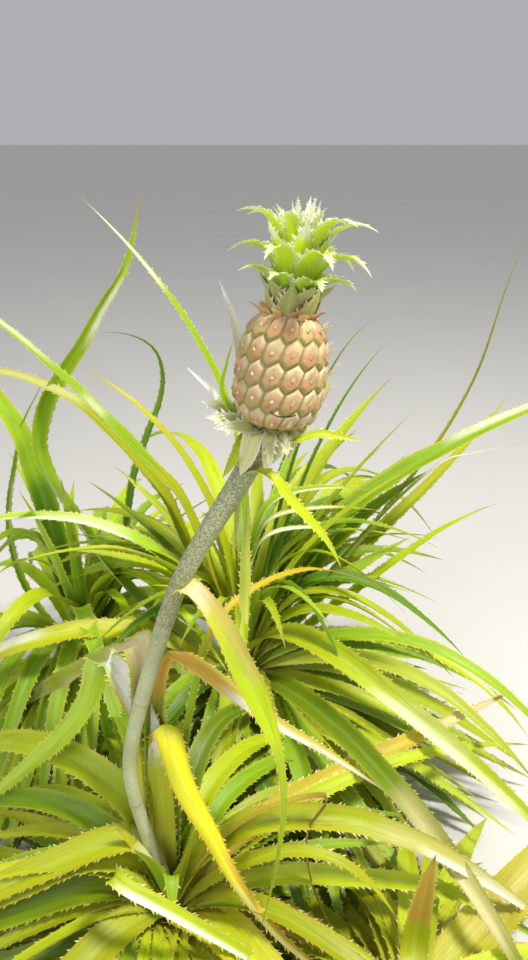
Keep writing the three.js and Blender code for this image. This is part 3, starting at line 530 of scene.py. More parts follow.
def linear(code):
    """Linear colour of a web colour code."""
    parts = [int(code[i:i + 2], 16) / 255 for i in (1, 3, 5)]
    return [c / 12.92 if c <= 0.04045 else ((c + 0.055) / 1.055) ** 2.4 for c in parts]


def scatter(first, second):
    """A repeatable number between 0 and 1 for each pair of whole numbers."""
    wave = math.sin(first * 127.1 + second * 311.7) * SCATTERING
    return wave - math.floor(wave)


def smooth(value):
    """Three squares less two cubes of the value, held between 0 and 1."""
    t = np.clip(value, 0, 1)
    return t * t * (3 - 2 * t)


def level(azimuth):
    """Level direction at an azimuth in degrees."""
    angle = np.radians(azimuth)
    return np.stack([np.cos(angle), np.sin(angle), np.zeros_like(angle)], -1)


def unit(vectors):
    """Vectors of the same direction and of length 1."""
    return vectors / np.maximum(np.linalg.norm(vectors, axis=-1, keepdims=True), 1e-9)


def smooth_line(points, count):
    """Hermite cubic through points, its knots spaced by the square root of the distance and each slope
    worked out from the three points around it; sampled at `count` places evenly spaced along it."""
    points = np.array(points, float)
    knots = np.concatenate([[0], np.cumsum(np.sqrt(np.linalg.norm(np.diff(points, axis=0), axis=1)))])
    chord = np.diff(points, axis=0) / np.diff(knots)[:, None]
    slopes = np.repeat(chord[:1], len(points), axis=0)
    if len(points) > 2:
        wide = (points[2:] - points[:-2]) / (knots[2:] - knots[:-2])[:, None]
        slopes[1:-1] = chord[:-1] - wide + chord[1:]
        slopes[0] = 2 * chord[0] - slopes[1]
        slopes[-1] = 2 * chord[-1] - slopes[-2]
    along = np.linspace(0, knots[-1], 60 * len(points))
    i = np.clip(np.searchsorted(knots, along, side="right") - 1, 0, len(points) - 2)
    span = (knots[i + 1] - knots[i])[:, None]
    t = (along - knots[i])[:, None] / span
    line = (
        points[i] * (2 * t**3 - 3 * t**2 + 1) + slopes[i] * span * (t**3 - 2 * t**2 + t)
        + points[i + 1] * (3 * t**2 - 2 * t**3) + slopes[i + 1] * span * (t**3 - t**2)
    )
    run = np.concatenate([[0], np.cumsum(np.linalg.norm(np.diff(line, axis=0), axis=1))])
    even = np.linspace(0, run[-1], count)
    return np.stack([np.interp(even, run, line[:, k]) for k in range(3)], 1), run[-1]


# Meshes


class Mesh:
    """Corners, faces and per-corner values gathered from many shapes before one mesh is made."""

    def __init__(self):
        self.corners, self.quads, self.triangles, self.values = [], [], [], {}
        self.count = 0

    def add(self, corners, quads=None, triangles=None, **values):
        """Corners, the faces between them and their named values, counted on from what is there."""
        corners = corners.reshape(-1, 3)
        if quads is not None:
            self.quads.append(np.asarray(quads).reshape(-1, 4) + self.count)
        if triangles is not None:
            self.triangles.append(np.asarray(triangles).reshape(-1, 3) + self.count)
        for name, value in values.items():
            self.values.setdefault(name, []).append(np.asarray(value, float).reshape(len(corners), -1))
        self.corners.append(corners)
        self.count += len(corners)

    def make(self, name, material, slot, nodes=()):
        """Mesh object of everything gathered, riding on the plant's one body."""
        quads = np.concatenate(self.quads) if self.quads else np.zeros((0, 4), int)
        triangles = np.concatenate(self.triangles) if self.triangles else np.zeros((0, 3), int)
        corners = np.concatenate(self.corners) * MM
        corners[:, 2] = np.maximum(corners[:, 2], 0 if name == "stem" else GROUND)
        mesh = bpy.data.meshes.new(name)
        mesh.vertices.add(len(corners))
        mesh.vertices.foreach_set("co", corners.astype(np.float32).ravel())
        loops = np.concatenate([quads.ravel(), triangles.ravel()]).astype(np.int32)
        mesh.loops.add(len(loops))
        mesh.loops.foreach_set("vertex_index", loops)
        starts = np.concatenate([
            np.arange(len(quads)) * 4, len(quads) * 4 + np.arange(len(triangles)) * 3,
        ]).astype(np.int32)
        mesh.polygons.add(len(starts))
        mesh.polygons.foreach_set("loop_start", starts)
        mesh.update(calc_edges=True)
        mesh.validate()
        for key, value in self.values.items():
            value = np.concatenate(value)
            if value.shape[1] == 3:
                layer = mesh.attributes.new(key, "FLOAT_COLOR", "POINT")
                value = np.concatenate([value, np.ones((len(value), 1))], 1)
                layer.data.foreach_set("color", value.astype(np.float32).ravel())
            else:
                layer = mesh.attributes.new(key, "FLOAT", "POINT")
                layer.data.foreach_set("value", value.astype(np.float32).ravel())
        mesh.polygons.foreach_set("use_smooth", np.ones(len(mesh.polygons), bool))
        mesh.set_sharp_from_angle(angle=math.radians(SHARP_ANGLE))
        mesh.materials.append(material)
        piece = bpy.data.objects.new(name, mesh)
        bpy.context.scene.collection.objects.link(piece)
        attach(piece, "root")
        if nodes:
            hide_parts(*nodes)


def tube_faces(rows, columns, flip=False):
    """Quads between the neighbouring rings of a tube and fans of triangles over its two ends. `flip` is
    for rings that run the other way round."""
    row, column = np.meshgrid(np.arange(rows - 1), np.arange(columns), indexing="ij")
    here = row * columns + column
    beside = row * columns + (column + 1) % columns
    quads = np.stack([here, beside, beside + columns, here + columns], -1).reshape(-1, 4)
    step = np.arange(1, columns - 1)
    fan = np.stack([np.zeros_like(step), step, step + 1], -1)
    caps = np.concatenate([fan[:, [0, 2, 1]], fan + (rows - 1) * columns])
    return (quads[:, ::-1], caps[:, [0, 2, 1]]) if flip else (quads, caps)


def long_outline(share):
    """Width of a long leaf: fuller over its first fifth, then 1 less the share to the power 2.8."""
    return (0.86 + 0.14 * smooth(share / 0.2)) * (1 - share**2.8)


def short_outline(share):
    """Width of a bract: the same with a longer shoulder and the power 2.6."""
    return (0.8 + 0.2 * smooth(share / 0.35)) * (1 - share**2.6)


def scale_outline(share):
    """Width of a crown leaf: a sharper point, with the power 1.5."""
    return (0.85 + 0.15 * smooth(share / 0.3)) * (1 - share**1.5)


def plain_colours(look, share, side):
    """Root, body and tip of a look blended by the share of the length, then towards the margin's colour
    at the sides."""
    root, body, tip, margin = [np.array(linear(code)) for code in LOOKS[look]]
    colour = root + (body - root) * smooth(share / ROOT_ENDS)
    colour = colour + (tip - colour) * smooth((share - TIP_STARTS) / (1 - TIP_STARTS))
    at_margin = smooth((np.abs(side) - MARGIN_STARTS) / (1 - MARGIN_STARTS))
    return colour + (margin - colour) * MARGIN_AMOUNT * at_margin


def leaf_colours(look, along, across, seed, sheen=(), below=None):
    """Colour of a leaf: that of its look, of another in its lower part, the whole a little lighter or
    darker from leaf to leaf, and a painted highlight or a tint of its own mixed in over each listed stretch."""
    share, side = along[..., None], across[..., None]
    colour = plain_colours(look, share, side)
    if below:
        lower_look, change = below
        lower = plain_colours(lower_look, share * 0.8, side)
        colour = lower + (colour - lower) * smooth((share - change) / BELOW_EDGE + 0.5)
    colour = colour * (LEAF_SHADES[0] + LEAF_SHADES[1] * scatter(seed, 91))
    if look not in PALE_LOOKS:
        colour = colour * np.array(SUNLIT)
    # Bands of painted highlight, white where no colour is given, and of the leaf's own tints.
    for start, end, amount, hand, *tone in sheen:
        band_colour = np.array(linear(tone[0] if tone else WAX_AND_HIGHLIGHT))
        here = smooth((share - start) / BAND_EDGE) * (1 - smooth((share - end) / BAND_EDGE))
        here = here * (smooth((hand * side + 0.1) / 0.5) if hand else 1 - np.abs(side) ** 4)
        colour = colour + (band_colour - colour) * here * amount
    return colour


def add_blade(mesh, line, across, width, outline, look, seed, frames, sides, thick, roll=0, twist=0,
              ripple=0.03, depth=CHANNEL_DEPTH, spines=None, wither=0, sheen=(), thin=None, below=None):
    """One leaf as a closed channel: a point at share s of the half width stands |s|**CHANNEL_CURVE of the
    channel's depth above the middle line, and the underside lies 1 - s*s of the thickness below it. The
    margins wave by two sines, and the blade rolls and twists about its middle line."""
    places, length = smooth_line(line, frames)
    share = np.linspace(0, 1, frames)
    tangent = unit(np.gradient(places, axis=0))
    side = unit(across - (tangent @ across)[:, None] * tangent)
    upper = unit(np.cross(side, tangent))
    rolled = np.interp(share, *zip(*roll)) if isinstance(roll, list) else roll * smooth(share / 0.35)
    turn = np.radians(rolled + twist * share)[:, None]
    side, upper = side * np.cos(turn) + upper * np.sin(turn), upper * np.cos(turn) - side * np.sin(turn)
    breadth = width * np.maximum(outline(share), POINT_SHARE)
    if thin:
        start, ramp, cut = thin
        breadth = breadth * (1 - cut * smooth((share - start) / ramp))
    s = np.linspace(-1, 1, sides)
    slow, quick = RIPPLES
    wave = np.sin(share * length / slow + 6.3 * scatter(seed, 5)) + np.sin(share * length / quick + seed)
    flat = depth * (1 - 0.35 * share)
    lift = (np.abs(s) ** CHANNEL_CURVE)[None, :] * (flat + ripple * wave)[:, None] * breadth[:, None]
    lift = lift * (1 + 0.35 * (scatter(seed, 6) - 0.5) * np.sign(s))[None, :]
    out = side[:, None] * (s[None, :, None] * breadth[:, None, None] / 2)
    top = places[:, None] + out + upper[:, None] * lift[..., None]
    inner = s[1:-1][::-1]
    thickness = thick * (1 - 0.6 * share) * np.minimum(1, breadth / 6)
    low = top[:, 1:-1][:, ::-1] - upper[:, None] * (thickness[:, None] * (1 - inner**2)[None, :])[..., None]
    ring = np.concatenate([top, low], axis=1)
    count = ring.shape[1]
    under = np.concatenate([np.zeros(sides), np.ones(sides - 2)])
    along_all = np.repeat(share[:, None], count, 1)
    across_all = np.repeat(np.concatenate([s, inner])[None, :], frames, 0)
    colour = leaf_colours(look, along_all, across_all, seed, sheen, below)
    if wither:
        amount = smooth((along_all - 1 + wither) / wither)[..., None]
        colour = colour + (np.array(linear(WITHERED)) - colour) * amount * 0.85
    mesh.add(
        ring, *tube_faces(frames, count, flip=True), tint=colour, along=along_all * length * MM,
        across=across_all, under=np.repeat(under[None, :], frames, 0),
        seed=np.full(ring.shape[:2], scatter(seed, 3)),
    )
    if spines:
        axes = {"forward": tangent, "out": side, "up": upper}
        add_spines(mesh, spines, share, length, breadth, top, axes, look, seed, below)


def add_spines(mesh, spines, share, length, breadth, top, axes, look, seed, below):
    """Small hooked spines along both margins of a blade: each a four-sided point that leans forward, its
    size and its place waving a little from one to the next."""
    size, spacing = spines
    number = max(3, int(length * 0.93 / spacing))
    step = np.arange(number)
    at = (step + 0.5 + 0.3 * np.sin(step * 2.4 + seed)) / number * 0.95 + 0.02
    order = np.array([[0, 1, 3], [1, 2, 3], [2, 0, 3], [1, 0, 2]])

    def here(values):
        """Values along the blade, read where each spine stands."""
        return np.stack([np.interp(at, share, values[:, k]) for k in range(3)], 1)

    forward, up = unit(here(axes["forward"])), unit(here(axes["up"]))
    big = (size * (0.7 + 0.6 * np.abs(np.sin(step * 1.7 + seed))))[:, None]
    big = big * np.clip(np.interp(at, share, breadth) / 9, 0.35, 1)[:, None]
    tone = np.repeat(leaf_colours(look, at, np.ones_like(at), seed, (), below)[:, None], 4, 1)
    tone[:, 3] = tone[:, 3] * 0.45 + np.array(linear(FRINGE)) * 0.55
    for hand in (-1, 1):
        edge = here(top[:, 0 if hand < 0 else -1])
        out = unit(here(axes["out"])) * hand
        back = edge - forward * big * 0.7 - out * 0.35
        front = edge + forward * big * 0.5 - out * 0.35
        lower = edge - up * big * 0.25 - out * 0.5
        point = edge + out * big * 0.85 + forward * big * 0.9 + up * big * 0.15
        faces = step[:, None, None] * 4 + order[None, :, ::-hand]
        mesh.add(
            np.stack([back, front, lower, point], 1), None, faces.reshape(-1, 3), tint=tone,
            along=np.repeat(at * length * MM, 4), across=np.full(number * 4, 1.1 * hand),
            under=np.zeros(number * 4), seed=np.full(number * 4, scatter(seed, 3)),
        )


# Materials


class Value:
    """Output of a shader node: arithmetic on it adds Math nodes."""

    def __init__(self, paint, socket):
        self.paint, self.socket = paint, socket

    def _math(self, operation, first, second=0.0):
        """Math node of that operation."""
        return self.paint.node("ShaderNodeMath", {"operation": operation}, {0: first, 1: second})

    def __add__(self, other):
        return self._math("ADD", self, other)

    def __radd__(self, other):
        return self._math("ADD", other, self)

    def __sub__(self, other):
        return self._math("SUBTRACT", self, other)

    def __rsub__(self, other):
        return self._math("SUBTRACT", other, self)

    def __mul__(self, other):
        return self._math("MULTIPLY", self, other)

    def __rmul__(self, other):
        return self._math("MULTIPLY", other, self)

    def step(self, low, high):
        """0 below `low`, 1 above `high`, smooth between."""
        return self.paint.node(
            "ShaderNodeMapRange", {"interpolation_type": "SMOOTHSTEP", "clamp": True},
            {"Value": self, "From Min": low, "From Max": high, "To Min": 0.0, "To Max": 1.0},
        )

    def size(self):
        """The value without its sign."""
        return self._math("ABSOLUTE", self)


class Paint:
    """A material and the nodes that give it its looks."""

    def __init__(self, name, **constants):
        self.material = bpy.data.materials.new(name)
        self.material.use_nodes = True
        self.tree = self.material.node_tree
        self.shader = self.tree.nodes["Principled BSDF"]
        for key, value in constants.items():
            self.shader.inputs[key.replace("_", " ")].default_value = value

    def node(self, kind, settings=None, inputs=None, output=0):
        """A node of that type, its settings set first and then its sockets' values or links."""
        made = self.tree.nodes.new(kind)
        for key, value in (settings or {}).items():
            setattr(made, key, value)
        for key, value in (inputs or {}).items():
            socket = made.inputs[key]
            if isinstance(value, Value):
                self.tree.links.new(value.socket, socket)
            else:
                socket.default_value = value
        return Value(self, made.outputs[output])

    def attribute(self, name, output="Fac"):
        """Value that the mesh carries under that name."""
        return self.node("ShaderNodeAttribute", {"attribute_name": name}, output=output)

    def place(self):
        """Object coordinates, in metres."""
        return self.node("ShaderNodeTexCoord", output="Object")

    def vector(self, x, y, z):
        """Three values as one vector."""
        return self.node("ShaderNodeCombineXYZ", inputs={"X": x, "Y": y, "Z": z})

    def noise(self, where, scale, detail=3.0):
        """Cloudy noise between 0 and 1."""
        return self.node(
            "ShaderNodeTexNoise",
            inputs={"Vector": where, "Scale": scale, "Detail": detail, "Roughness": NOISE_ROUGHNESS},
        )

    def cells(self, where, scale):
        """Distance to the nearest of many scattered points."""
        return self.node("ShaderNodeTexVoronoi", inputs={"Vector": where, "Scale": scale}, output="Distance")

    def mix(self, first, second, share):
        """Blend of two colours."""
        return self.node("ShaderNodeMix", {"data_type": "RGBA"}, {6: first, 7: second, 0: share}, output=2)

    def tinted(self, first, second, share):
        """First colour multiplied by the second, by that share."""
        settings = {"data_type": "RGBA", "blend_type": "MULTIPLY"}
        return self.node("ShaderNodeMix", settings, {6: first, 7: second, 0: share}, output=2)

    def finish(self, colour, roughness, height=None, strength=0.3, distance=0.001):
        """The material, with its colour, its roughness and, where a height is given, a bump."""
        self.tree.links.new(colour.socket, self.shader.inputs["Base Color"])
        if isinstance(roughness, Value):
            self.tree.links.new(roughness.socket, self.shader.inputs["Roughness"])
        else:
            self.shader.inputs["Roughness"].default_value = roughness
        if height is not None:
            sizes = {"Height": height, "Strength": strength, "Distance": distance}
            bump = self.node("ShaderNodeBump", inputs=sizes)
            self.tree.links.new(bump.socket, self.shader.inputs["Normal"])
        return self.material


def colour(code):
    """Colour of a shader's socket for a web colour code."""
    return (*linear(code), 1.0)


def leaf_paint(name, bloom):
    """Waxy leaf: its own tint with fine lengthwise veins, a paler bloom below, blotches and dry specks."""
    paint = Paint(
        name, Specular_IOR_Level=0.4, Subsurface_Weight=0.35, Subsurface_Scale=0.004,
        Subsurface_Radius=(0.8, 1.0, 0.2),
    )
    tint = paint.attribute("tint", "Color")
    along, across = paint.attribute("along"), paint.attribute("across")
    under, seed = paint.attribute("under"), paint.attribute("seed")
    veins = paint.noise(paint.vector(across * 14.0, along * 5.0, seed * 57.0), 3.0, 2.0)
    broad = paint.noise(paint.vector(across * 1.2, along * 9.0, seed * 91.0), 1.6, 3.0)
    place = paint.place()
    specks = paint.noise(place, 420.0, 2.0)
    shade = paint.tinted(tint, colour("#b6bf8f"), veins.step(0.42, 0.62) * 0.4)
    shade = paint.tinted(shade, colour("#d8c77c"), broad.step(0.52, 0.7) * 0.45)
    shade = paint.mix(shade, colour("#c6cf6a"), (1.0 - across.size().step(0.0, 0.3)) * 0.15)
    shade = paint.mix(shade, colour("#a9b66c"), under * bloom)
    shade = paint.mix(shade, colour("#7d5a33"), specks.step(0.69, 0.74) * 0.5)
    height = veins * 0.7 + specks * 0.1
    return paint.finish(shade, 0.3 + veins * 0.25, height, 0.35, 0.0012)


def fruit_paint():
    """Fruit rind: cream to peach eyes, each of its own tone, with grey-green seams and fine specks."""
    paint = Paint("rind", Specular_IOR_Level=0.4)
    seam, tone = paint.attribute("seam"), paint.attribute("tone")
    heart, low = paint.attribute("heart"), paint.attribute("low")
    place = paint.place()
    grain, patch = paint.noise(place, 260.0, 4.0), paint.noise(place, 70.0, 3.0)
    scar = paint.attribute("scar")
    eye = paint.mix(colour("#b7a26c"), colour("#b88f62"), tone.step(0.2, 0.9))
    eye = paint.mix(eye, colour("#a3935a"), low.step(0.4, 1.0) * 0.5)
    # The upper half of each eye is paler: a painted highlight from the light above, broken by patches.
    pale = (1.0 - low).step(0.42, 0.75) * (0.35 + patch.step(0.4, 0.6) * 0.4)
    eye = paint.mix(eye, colour("#d8caa0"), pale)
    eye = paint.mix(eye, colour("#c47e54"), heart.step(0.1, 0.8) * (0.25 + patch.step(0.42, 0.6) * 0.45))
    shade = paint.mix(colour("#87884a"), eye, seam.step(0.03, 0.28))
    shade = paint.tinted(shade, colour("#b98d6a"), grain.step(0.55, 0.72) * 0.4)
    shade = paint.mix(shade, colour("#3c2a1c"), scar)
    return paint.finish(shade, 0.5 + grain * 0.2, grain * 0.4 + patch * 0.3, 0.35, 0.0015)


def stalk_paint():
    """Fruit stalk: pale grey-green, smooth and waxy low down, with a net of dark specks higher up."""
    paint = Paint("stalk_skin", Specular_IOR_Level=0.35)
    place = paint.place()
    along, ring = paint.attribute("along"), paint.attribute("ring")
    around = paint.attribute("around")
    net = paint.cells(paint.vector(around, along, 0.0), 540.0)
    fine = paint.noise(place, 300.0, 3.0)
    wide = paint.noise(place, 25.0, 3.0)
    base = paint.mix(colour("#adb285"), colour("#bcc199"), wide.step(0.35, 0.65))
    base = paint.mix(base, colour("#a3a67c"), fine.step(0.45, 0.7) * 0.5)
    net_there = along.step(0.30, 0.40)
    base = paint.mix(base, colour("#56543a"), net.step(0.4, 0.6) * net_there * 0.5)
    base = paint.mix(base, colour("#8a8258"), ring * 0.5)
    return paint.finish(base, 0.55, (net * net_there) + fine * 0.2, 0.4, 0.001)


def stem_paint():
    """Fibrous stem: brown bands of leaf scars with lengthwise fibres."""
    paint = Paint("stem_bark", Specular_IOR_Level=0.2)
    place = paint.place()
    coarse, fine = paint.noise(place, 60.0, 4.0), paint.noise(place, 380.0, 3.0)
    ring = paint.attribute("ring")
    shade = paint.mix(colour("#6f6236"), colour("#93855a"), coarse.step(0.3, 0.7))
    shade = paint.mix(shade, colour("#4a3c22"), ring * 0.6)
    shade = paint.tinted(shade, colour("#8d8a5c"), fine.step(0.4, 0.7) * 0.5)
    return paint.finish(shade, 0.85, coarse * 0.5 + fine * 0.5, 0.6, 0.002)


def floor_paint():
    """Pale floor with faint clouds."""
    paint = Paint("pale_floor")
    cloud = paint.noise(paint.place(), 3.0, 2.0)
    return paint.finish(paint.mix(colour("#dddbd6"), colour("#e3e1dc"), cloud), 0.8)


LEAF = leaf_paint("leaf_skin", 0.12)
CROWN_LEAF = leaf_paint("crown_skin", 0.1)
RIND = fruit_paint()
STALK = stalk_paint()
BARK = stem_paint()


def nodes_of(*starts):
    """Names of the part's nodes that start so."""
    return [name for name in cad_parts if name.startswith(starts)]


# Rosettes, stems and stalk


def fan_leaves(fan, rosette):
    """Leaves spread evenly between two azimuths, each swayed, turned, rolled and sized a little by its
    own number, and kept inside the plant's box."""
    first, last, count, crest, tip, width, seed, *looks = fan
    looks = looks[0] if looks else rosette["fan_looks"]
    reach_share, gap = FAN_REACH
    leaves = []
    for index in range(count):
        azimuth = first + (last - first) * (index / (count - 1)) + FAN_SWAY * (scatter(index, seed) - 0.5)
        size = FAN_SIZE[0] + FAN_SIZE[1] * scatter(index, seed + 1)
        turned = azimuth + FAN_TURN * (scatter(index, seed + 2) - 0.5)
        droop = FAN_DROOP[0] + FAN_DROOP[1] * scatter(index, seed + 3)
        look = looks[int(scatter(index, seed + 4) * len(looks))]
        roll = FAN_ROLL * (scatter(index, seed + 5) - 0.5)
        tip_reach = min(tip[0] * size, reach_share * room(rosette, turned) - gap)
        crest_reach = min(crest[0] * size, CREST_SHARE * tip_reach)
        stations = [
            (azimuth, crest_reach, crest[1] * (0.5 + 0.5 * size)), (turned, tip_reach, tip[1] * droop),
        ]
        leaves.append(leaf(stations, width * size, look, roll=roll))
    return leaves


def rooted(rosette, leaves):
    """Root heights: the steeper a leaf rises to its first station, the higher it is rooted."""
    lowest, highest = rosette["roots"]
    first = [(0, 40, lowest) if entry.get("in_space") else entry["at"][0] for entry in leaves]
    steep = [math.atan2(height - lowest, reach) for _, reach, height in first]
    rank = np.argsort(np.argsort(steep))
    return lowest + (highest - lowest) * (rank + 0.5) / len(leaves)


def room(rosette, azimuth):
    """Level distance from a rosette's heart to the edge of the plant's box, along an azimuth."""
    (low, high), heart, way = cad_box, np.array(rosette["heart"]) * MM, level(float(azimuth))[:2]
    edge = np.where(way > 0, np.array(high)[:2], np.array(low)[:2])
    return float(np.min(np.abs(edge - heart) / np.maximum(np.abs(way), 0.01))) / MM


def place_of(rosette, azimuth, reach, height):
    """Place at an azimuth and a reach from a rosette's heart."""
    x, y = rosette["heart"]
    return level(float(azimuth)) * reach + np.array([x, y, height])


def add_rosette(rosette, number):
    """Leaves of a rosette, those that the photograph shows and those of the fans each in a piece."""
    seen = rosette["leaves"]
    leaves = seen + [entry for fan in rosette["fans"] for entry in fan_leaves(fan, rosette)]
    shown, mass = Mesh(), Mesh()
    for index, (entry, root) in enumerate(zip(leaves, rooted(rosette, leaves))):
        seed = 100 * number + index
        azimuth, line = FACING, entry["at"]
        if not entry.get("in_space"):
            azimuth = float(line[0][0])
            stations = [(azimuth, rosette["radius"] - SUNK, root), *line]
            line = [place_of(rosette, *station) for station in stations]
        known = index < len(seen)
        add_blade(
            shown if known else mass, line, level(azimuth - 90), entry["width"], long_outline, entry["look"],
            seed, **(SEEN_BLADE if known else FAN_BLADE), roll=entry.get("roll", 0),
            twist=0 if known else BLADE_TWIST * (scatter(seed, 11) - 0.5),
            wither=0.12 * scatter(seed, 12) + 0.03,
            sheen=entry.get("sheen", ()), thin=entry.get("thin"), below=entry.get("below"),
        )
    name = rosette["name"]
    shown.make(f"{name}_leaves_seen", LEAF, "leaf", nodes_of(f"{name}_leaf_", f"{name}_leaves_"))
    mass.make(f"{name}_leaves_more", LEAF, "leaf")


def add_limb(name, points, radius_at, material, slot, nodes, rings, frames=160, sides=48, relief=0.6,
             foot=False):
    """Round limb: a circle carried along a smooth line, its radius a function of the share of the
    length with low ridges at the leaf scars and a faint wobble, closed flat at both ends."""
    places, length = smooth_line(points, frames)
    share = np.linspace(0, 1, frames)
    tangent = unit(np.gradient(places, axis=0))
    if foot:
        tangent[0] = (0, 0, 1)
    across = unit(np.cross(np.array([0.0, 1.0, 0.0]), tangent))
    up = np.cross(tangent, across)
    angle = np.linspace(0, 2 * np.pi, sides, endpoint=False)
    scar = sum(np.exp(-(((share - ring) * length / 1.6) ** 2)) for ring in rings)
    wobble = 0.5 * np.outer(np.sin(share * 9), np.sin(3 * angle)) + 0.2 * np.sin(5 * angle + 1)
    radius = radius_at(share)[:, None] + relief * (scar[:, None] + wobble)
    ring_points = (
        places[:, None] + across[:, None] * (radius * np.cos(angle))[..., None]
        + up[:, None] * (radius * np.sin(angle))[..., None]
    )
    mesh = Mesh()
    mesh.add(
        ring_points, *tube_faces(frames, sides),
        along=np.repeat((share * length * MM)[:, None], sides, 1),
        around=np.repeat((np.abs(angle - np.pi) * np.mean(radius_at(share)) * MM)[None], frames, 0),
        ring=np.repeat(np.clip(scar, 0, 1)[:, None], sides, 1),
    )
    mesh.make(name, material, slot, nodes)


def add_stems():
    """Main stem with its flared foot and flat cut, and the stems of the side rosettes."""
    points = [(0, 0, 0), (STEM_LEAN * 0.3, 0, STEM_HEIGHT * 0.35), (STEM_LEAN, 0, STEM_HEIGHT)]

    def main_radius(share):
        """Flare at the foot that falls off exponentially, and a taper over the upper three quarters."""
        flare = (STEM_FOOT_RADIUS - STEM_RADIUS) * np.exp(-share * 7)
        return STEM_RADIUS + flare - (STEM_RADIUS - STEM_TOP_RADIUS) * smooth((share - 0.25) / 0.75)

    rings = np.linspace(0.1, 0.95, 16)
    add_limb("stem", points, main_radius, BARK, "stem", ["stem_main"], rings, foot=True)
    for rosette in ROSETTES[1:]:
        x, y = rosette["heart"]
        low, high = rosette["roots"]
        line = rosette["stem"] + [(x, y, low), (x, y, (low + high) / 2), (x, y, high)]

        def side_radius(share, radius=rosette["radius"]):
            """Thinner where the stem starts and full from five eighths of its length."""
            return radius * (0.72 + 0.28 * smooth(share * 1.6))

        name = f"{rosette['name']}_stem"
        add_limb(f"{name}_bark", line, side_radius, BARK, "stem", [name], np.linspace(0.08, 0.95, 18))


def add_stalk():
    """Stalk through its bends up to the fruit's base, its radius growing with the share to the power 2.4."""
    lean = unit(np.array(FRUIT_LEAN, float))
    top = np.array(FRUIT_BASE) - lean * 0.3
    points = [(STEM_LEAN, 0, STEM_HEIGHT + 0.3), *STALK_BENDS, tuple(top - lean * 12), tuple(top)]

    def stalk_radius(share):
        return STALK_FOOT_RADIUS + (STALK_TOP_RADIUS - STALK_FOOT_RADIUS) * share**2.4

    add_limb(
        "stalk", points, stalk_radius, STALK, "stalk", ["fruit_stalk"], STALK_NODES,
        frames=320, sides=56, relief=0.5,
    )


# Fruit and crown


def head_frame():
    """Turn and place that carry the upright head to its lean on the stalk."""
    lean = unit(np.array(FRUIT_LEAN, float))
    axis = np.cross((0, 0, 1), lean)
    angle = math.atan2(np.linalg.norm(axis), lean[2])
    axis = unit(axis)
    cross = np.array([[0, -axis[2], axis[1]], [axis[2], 0, -axis[0]], [-axis[1], axis[0], 0]])
    turn = np.eye(3) + math.sin(angle) * cross + (1 - math.cos(angle)) * cross @ cross
    return turn, np.array(FRUIT_BASE, float)


HEAD_TURN, HEAD_PLACE = head_frame()


def on_head(points):
    """Points of the upright head, carried to its lean on the stalk."""
    return np.asarray(points, float) @ HEAD_TURN.T + HEAD_PLACE


def add_head_blade(mesh, stations, width, outline, look, seed, **more):
    """Blade on the leaning head. Its stations are azimuth, reach and height over the fruit's base, and it
    lies broad across the azimuth of the first."""
    line = [level(float(azimuth)) * reach + np.array([0, 0, height]) for azimuth, reach, height in stations]
    across = HEAD_TURN @ level(float(stations[0][0] - 90))
    add_blade(mesh, on_head(line), across, width, outline, look, seed, **more)


def barrel(share):
    """Radius of the fruit under its eyes, share running from -1 at the base to 1 at the top."""
    fullness = (1 - np.abs(FRUIT_END * share) ** FRUIT_ROUNDNESS) ** (1 / FRUIT_ROUNDNESS)
    return FRUIT_RADIUS * (1 - FRUIT_TAPER * share) * fullness


